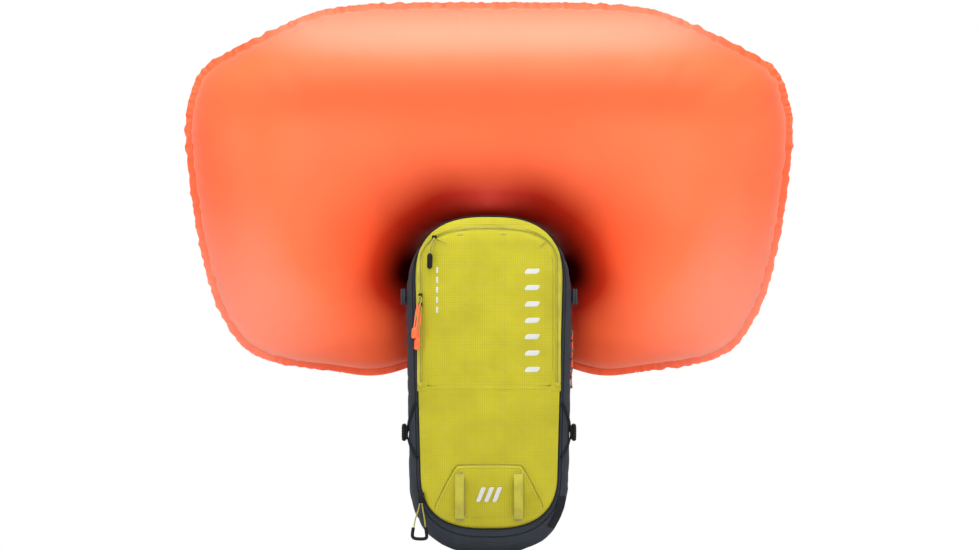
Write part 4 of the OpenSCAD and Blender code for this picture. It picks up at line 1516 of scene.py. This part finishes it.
def build_sternum():
    y = STRAP_Y + 64
    z = STRAP_Z - 60
    line = [(mix(STRAP_X + 18, 17, f), y + 5.3 + 0.5 * math.sin(5 * f), z + 0.8 * math.sin(4 * f))
            for f in shares(20)]
    fold = [(STRAP_X + 17, y + 5.3, z), (STRAP_X + 19.5, y + 6.6, z), (STRAP_X + 15, y + 7.4, z),
            (STRAP_X + 2, y + 7.0, z)]
    tapes = [tape_parts(line, 20, 1.8), tape_parts(spline(fold, 14), 20, 1.4)]

    def clip(side):
        return clip_parts((4.4, y + 1, z - 14), (26, y + 10, z + 14), side > 0)

    pair("sternum_webbing_", tapes, black_tape, "chest_", "black_webbing", "sternum_")
    pair("sternum_clip_", clip, black_plastic, "chest_")


# Middle line of the right hip wing seen from above, and its height at even steps.
WING_CURVE = [(98, 16), (112, 34), (124, 64), (130, 110), (128, 160), (118, 210)]
WING_HEIGHTS = [96, 100, 96, 84, 68, 52]


def belt_parts(tip, end):
    """Belt webbing out of a wing's tip to its clip, and the loose tail folded back on it."""
    belt = [(tip[0] + 10, tip[1] - 26), tip,
            (mix(tip[0], end[0], 0.3) + 6, mix(tip[1], end[1], 0.3) + 8),
            (mix(tip[0], end[0], 0.75), mix(tip[1], end[1], 0.75) + 2), end]
    tail = [(60, -12, 0), (44, 6, 0), (50, 8.5, -6), (78, -1, -12), (92, -14, -22)]
    return [tape_parts(spline([(x, y, HIP_Z) for x, y in belt], 40), 36, 1.8),
            tape_parts(spline([(x, end[1] + y, HIP_Z + z) for x, y, z in tail], 24), 32, 1.5)]


def build_wings():
    middle = spline([(x, BACK_Y + y, HIP_Z) for x, y in WING_CURVE], 70)
    outer = spline([(x + 6.4, BACK_Y + y - 1.5, HIP_Z) for x, y in WING_CURVE], 70)
    tip = (WING_CURVE[-1][0] - 12, BACK_Y + WING_CURVE[-1][1] + 2)
    end = (14, BACK_Y + 236)
    band = [moved(p, (2.2, 0, 0)) for p in outer[6:]] + [(tip[0] + 6, tip[1] + 1, HIP_Z)]

    def padding(side):
        def section(f):
            uneven = 1 + 0.06 * grain(f * 60, side, 0, 8)
            return cushion_section(between(WING_HEIGHTS, f) - 3, 11 * uneven)

        return [sweep_parts(middle, section, across=ALONG_Z)]

    def cover_section(f):
        return cushion_section(between(WING_HEIGHTS, 0.06 + 0.88 * f) - 16, 2.4)

    def clip(side):
        return clip_parts((6.2, end[1] - 6, HIP_Z - 25), (38, end[1] + 8, HIP_Z + 25), side > 0)

    cover = [sweep_parts(outer[4:66], cover_section, across=ALONG_Z)]
    pair("hip_wing_pad_", padding, knit, "wing_", "padding", "hip_wing_")
    pair("hip_wing_binding_", edge_bindings(middle, WING_HEIGHTS, ALONG_Z), black_tape, "wing_")
    pair("hip_wing_cover_", cover, slate_cloth, "wing_")
    pair("hip_wing_band_", [tape_parts(band, 34, 1.6)], slate_tape, "wing_")
    pair("hip_webbing_", belt_parts(tip, end), black_tape, "wing_", "black_webbing", "hip_buckle_")
    pair("hip_clip_", clip, black_plastic, "wing_")


# ---------- trigger ----------

def build_trigger():
    top = STRAP_Z - 90
    y = STRAP_Y + 74
    x = -STRAP_X
    axis = (x, y + 2)
    case = [soft_box((x - 11, y - 8, top - 44), (x + 11, y + 12, top - 1), 4.5)]
    for z in (top - 12, top - 19, top - 26, top - 33):
        case.append(soft_box((x - 7, y + 11.2, z), (x + 7, y + 12.8, z + 2.6), 0.7))
    collar = [(4.2, top - 4), (4.2, top + 2), (3.4, top + 6), (2.8, top + 7)]
    case.append(turned_parts(axis, collar))
    case.append(soft_box((x - 15, y - 9.5, top - 34), (x + 15, y - 5.5, top - 10), 1.6))
    stand_for(gather("trigger_case", case, black_plastic, "strap_left"), "black_plastic",
              "trigger_housing")
    grip = []
    for f in shares(32):
        ends = smooth(f / 0.1) * smooth((1 - f) / 0.1)
        r = 8 * (1 - 0.10 * math.cos(f * 6 * math.pi) ** 2 * ends)
        r *= math.sqrt(clamp(1 - max(0.0, (abs(f - 0.5) - 0.40) / 0.101) ** 2, 0.04, 1))
        grip.append((r, top - 106 + 44 * f))
    parts = [turned_parts(axis, grip, ribs=0.03),
             turned_parts(axis, [(2.5, top - 64), (2.5, top - 18)])]
    stand_for(gather("trigger_grip", parts, coral_rubber, "trigger"), "coral_plastic", "trigger_handle")
    last = 89
    line = spline([(x, y + 2, top + 2), (x, y + 3, top + 40), (x, y - 10, STRAP_Z - 8),
                   (x, y - 32, STRAP_Z + 12), (x, y - 50, STRAP_Z + 16)], last + 1)
    piece = sweep("trigger_sleeve", line,
                  lambda f: circle(2.5 + 0.25 * math.sin(round(f * last) * 1.9), 12),
                  black_plastic, "strap_left")
    stand_for(piece, "black_plastic", "trigger_cable")


# ---------- bay mouth ----------

def build_bay():
    """Flaps of the airbag bay folded back along the pack's top corners."""
    last = 49
    for side, label in SIDES:
        ring = [(side * x, z) for x, z in pack_ring(0.95, -3.4) if x > 44 and z > PACK_H - 46]
        line = resample(ring, last + 1)
        parts = []
        for y, lift, width in ((BACK_Y - 22, 0.0, 26), (BACK_Y - 34, 1.8, 14)):
            path = []
            for i, (x, z) in enumerate(line):
                ends = math.sin(math.pi * i / last) ** 0.5
                wave = 1.0 * grain(i, y, side, 6) + 0.8 * grain(i, y, side, 14)
                rise = lift * ends - 4 * (1 - ends) + wave
                path.append((x * (1 + 0.006 * rise), y, z + 0.8 * rise))
            parts.append(tape_parts(path, width, 1.7, ALONG_Y))
        stand_for(gather("bay_flap_" + label, parts, ink_cloth), "black_webbing", "bay_flaps")


# ---------- finishes of the hard parts ----------

def dress_nodes():
    """Procedural finishes for the CAD parts that stay visible."""
    finishes = [
        (moulded("blower_glass_filled", (0.022, 0.024, 0.028), rough=0.5),
         "fan_housing control_box control_lid cradle_plate valve_seat"),
        (moulded("white_moulded_plastic", (0.62, 0.62, 0.60)), "frame_sheet impeller deflation_button"),
        (moulded("coral_valve_rubber", (0.85, 0.18, 0.07), rough=0.5), "check_valve power_button"),
        (moulded("collar_rubber", (0.012, 0.012, 0.013), rough=0.6), "inlet_collar"),
        (moulded("board_solder_mask", (0.02, 0.12, 0.035), rough=0.35, coat=0.4), "control_board"),
        (moulded("capacitor_wrap", (0.03, 0.08, 0.28), rough=0.3, coat=0.5), "capacitors"),
        (metal("brushed_aluminium", (0.62, 0.63, 0.65)), "frame_stay inlet_grille motor battery_cells"),
        (metal("bright_steel", (0.55, 0.55, 0.56), rough=0.25), "collar_clamp cradle_screws"),
    ]
    for material, names in finishes:
        for name in names.split():
            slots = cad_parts[name].data.materials
            slots.clear()
            slots.append(material)


# ---------- build ----------

build_airbag()
build_shell()
build_front_panel()
build_face_seams()
build_door()
build_pocket()
build_tool_loops()
build_zips()
build_sliders()
build_corner_leash()
build_side_straps()
build_buckles()
build_side_cord()
build_marks()
build_back()
build_handle()
build_straps()
build_webbing()
build_sternum()
build_wings()
build_trigger()
build_bay()
dress_nodes()
build_stage()
build_lights()
build_camera()
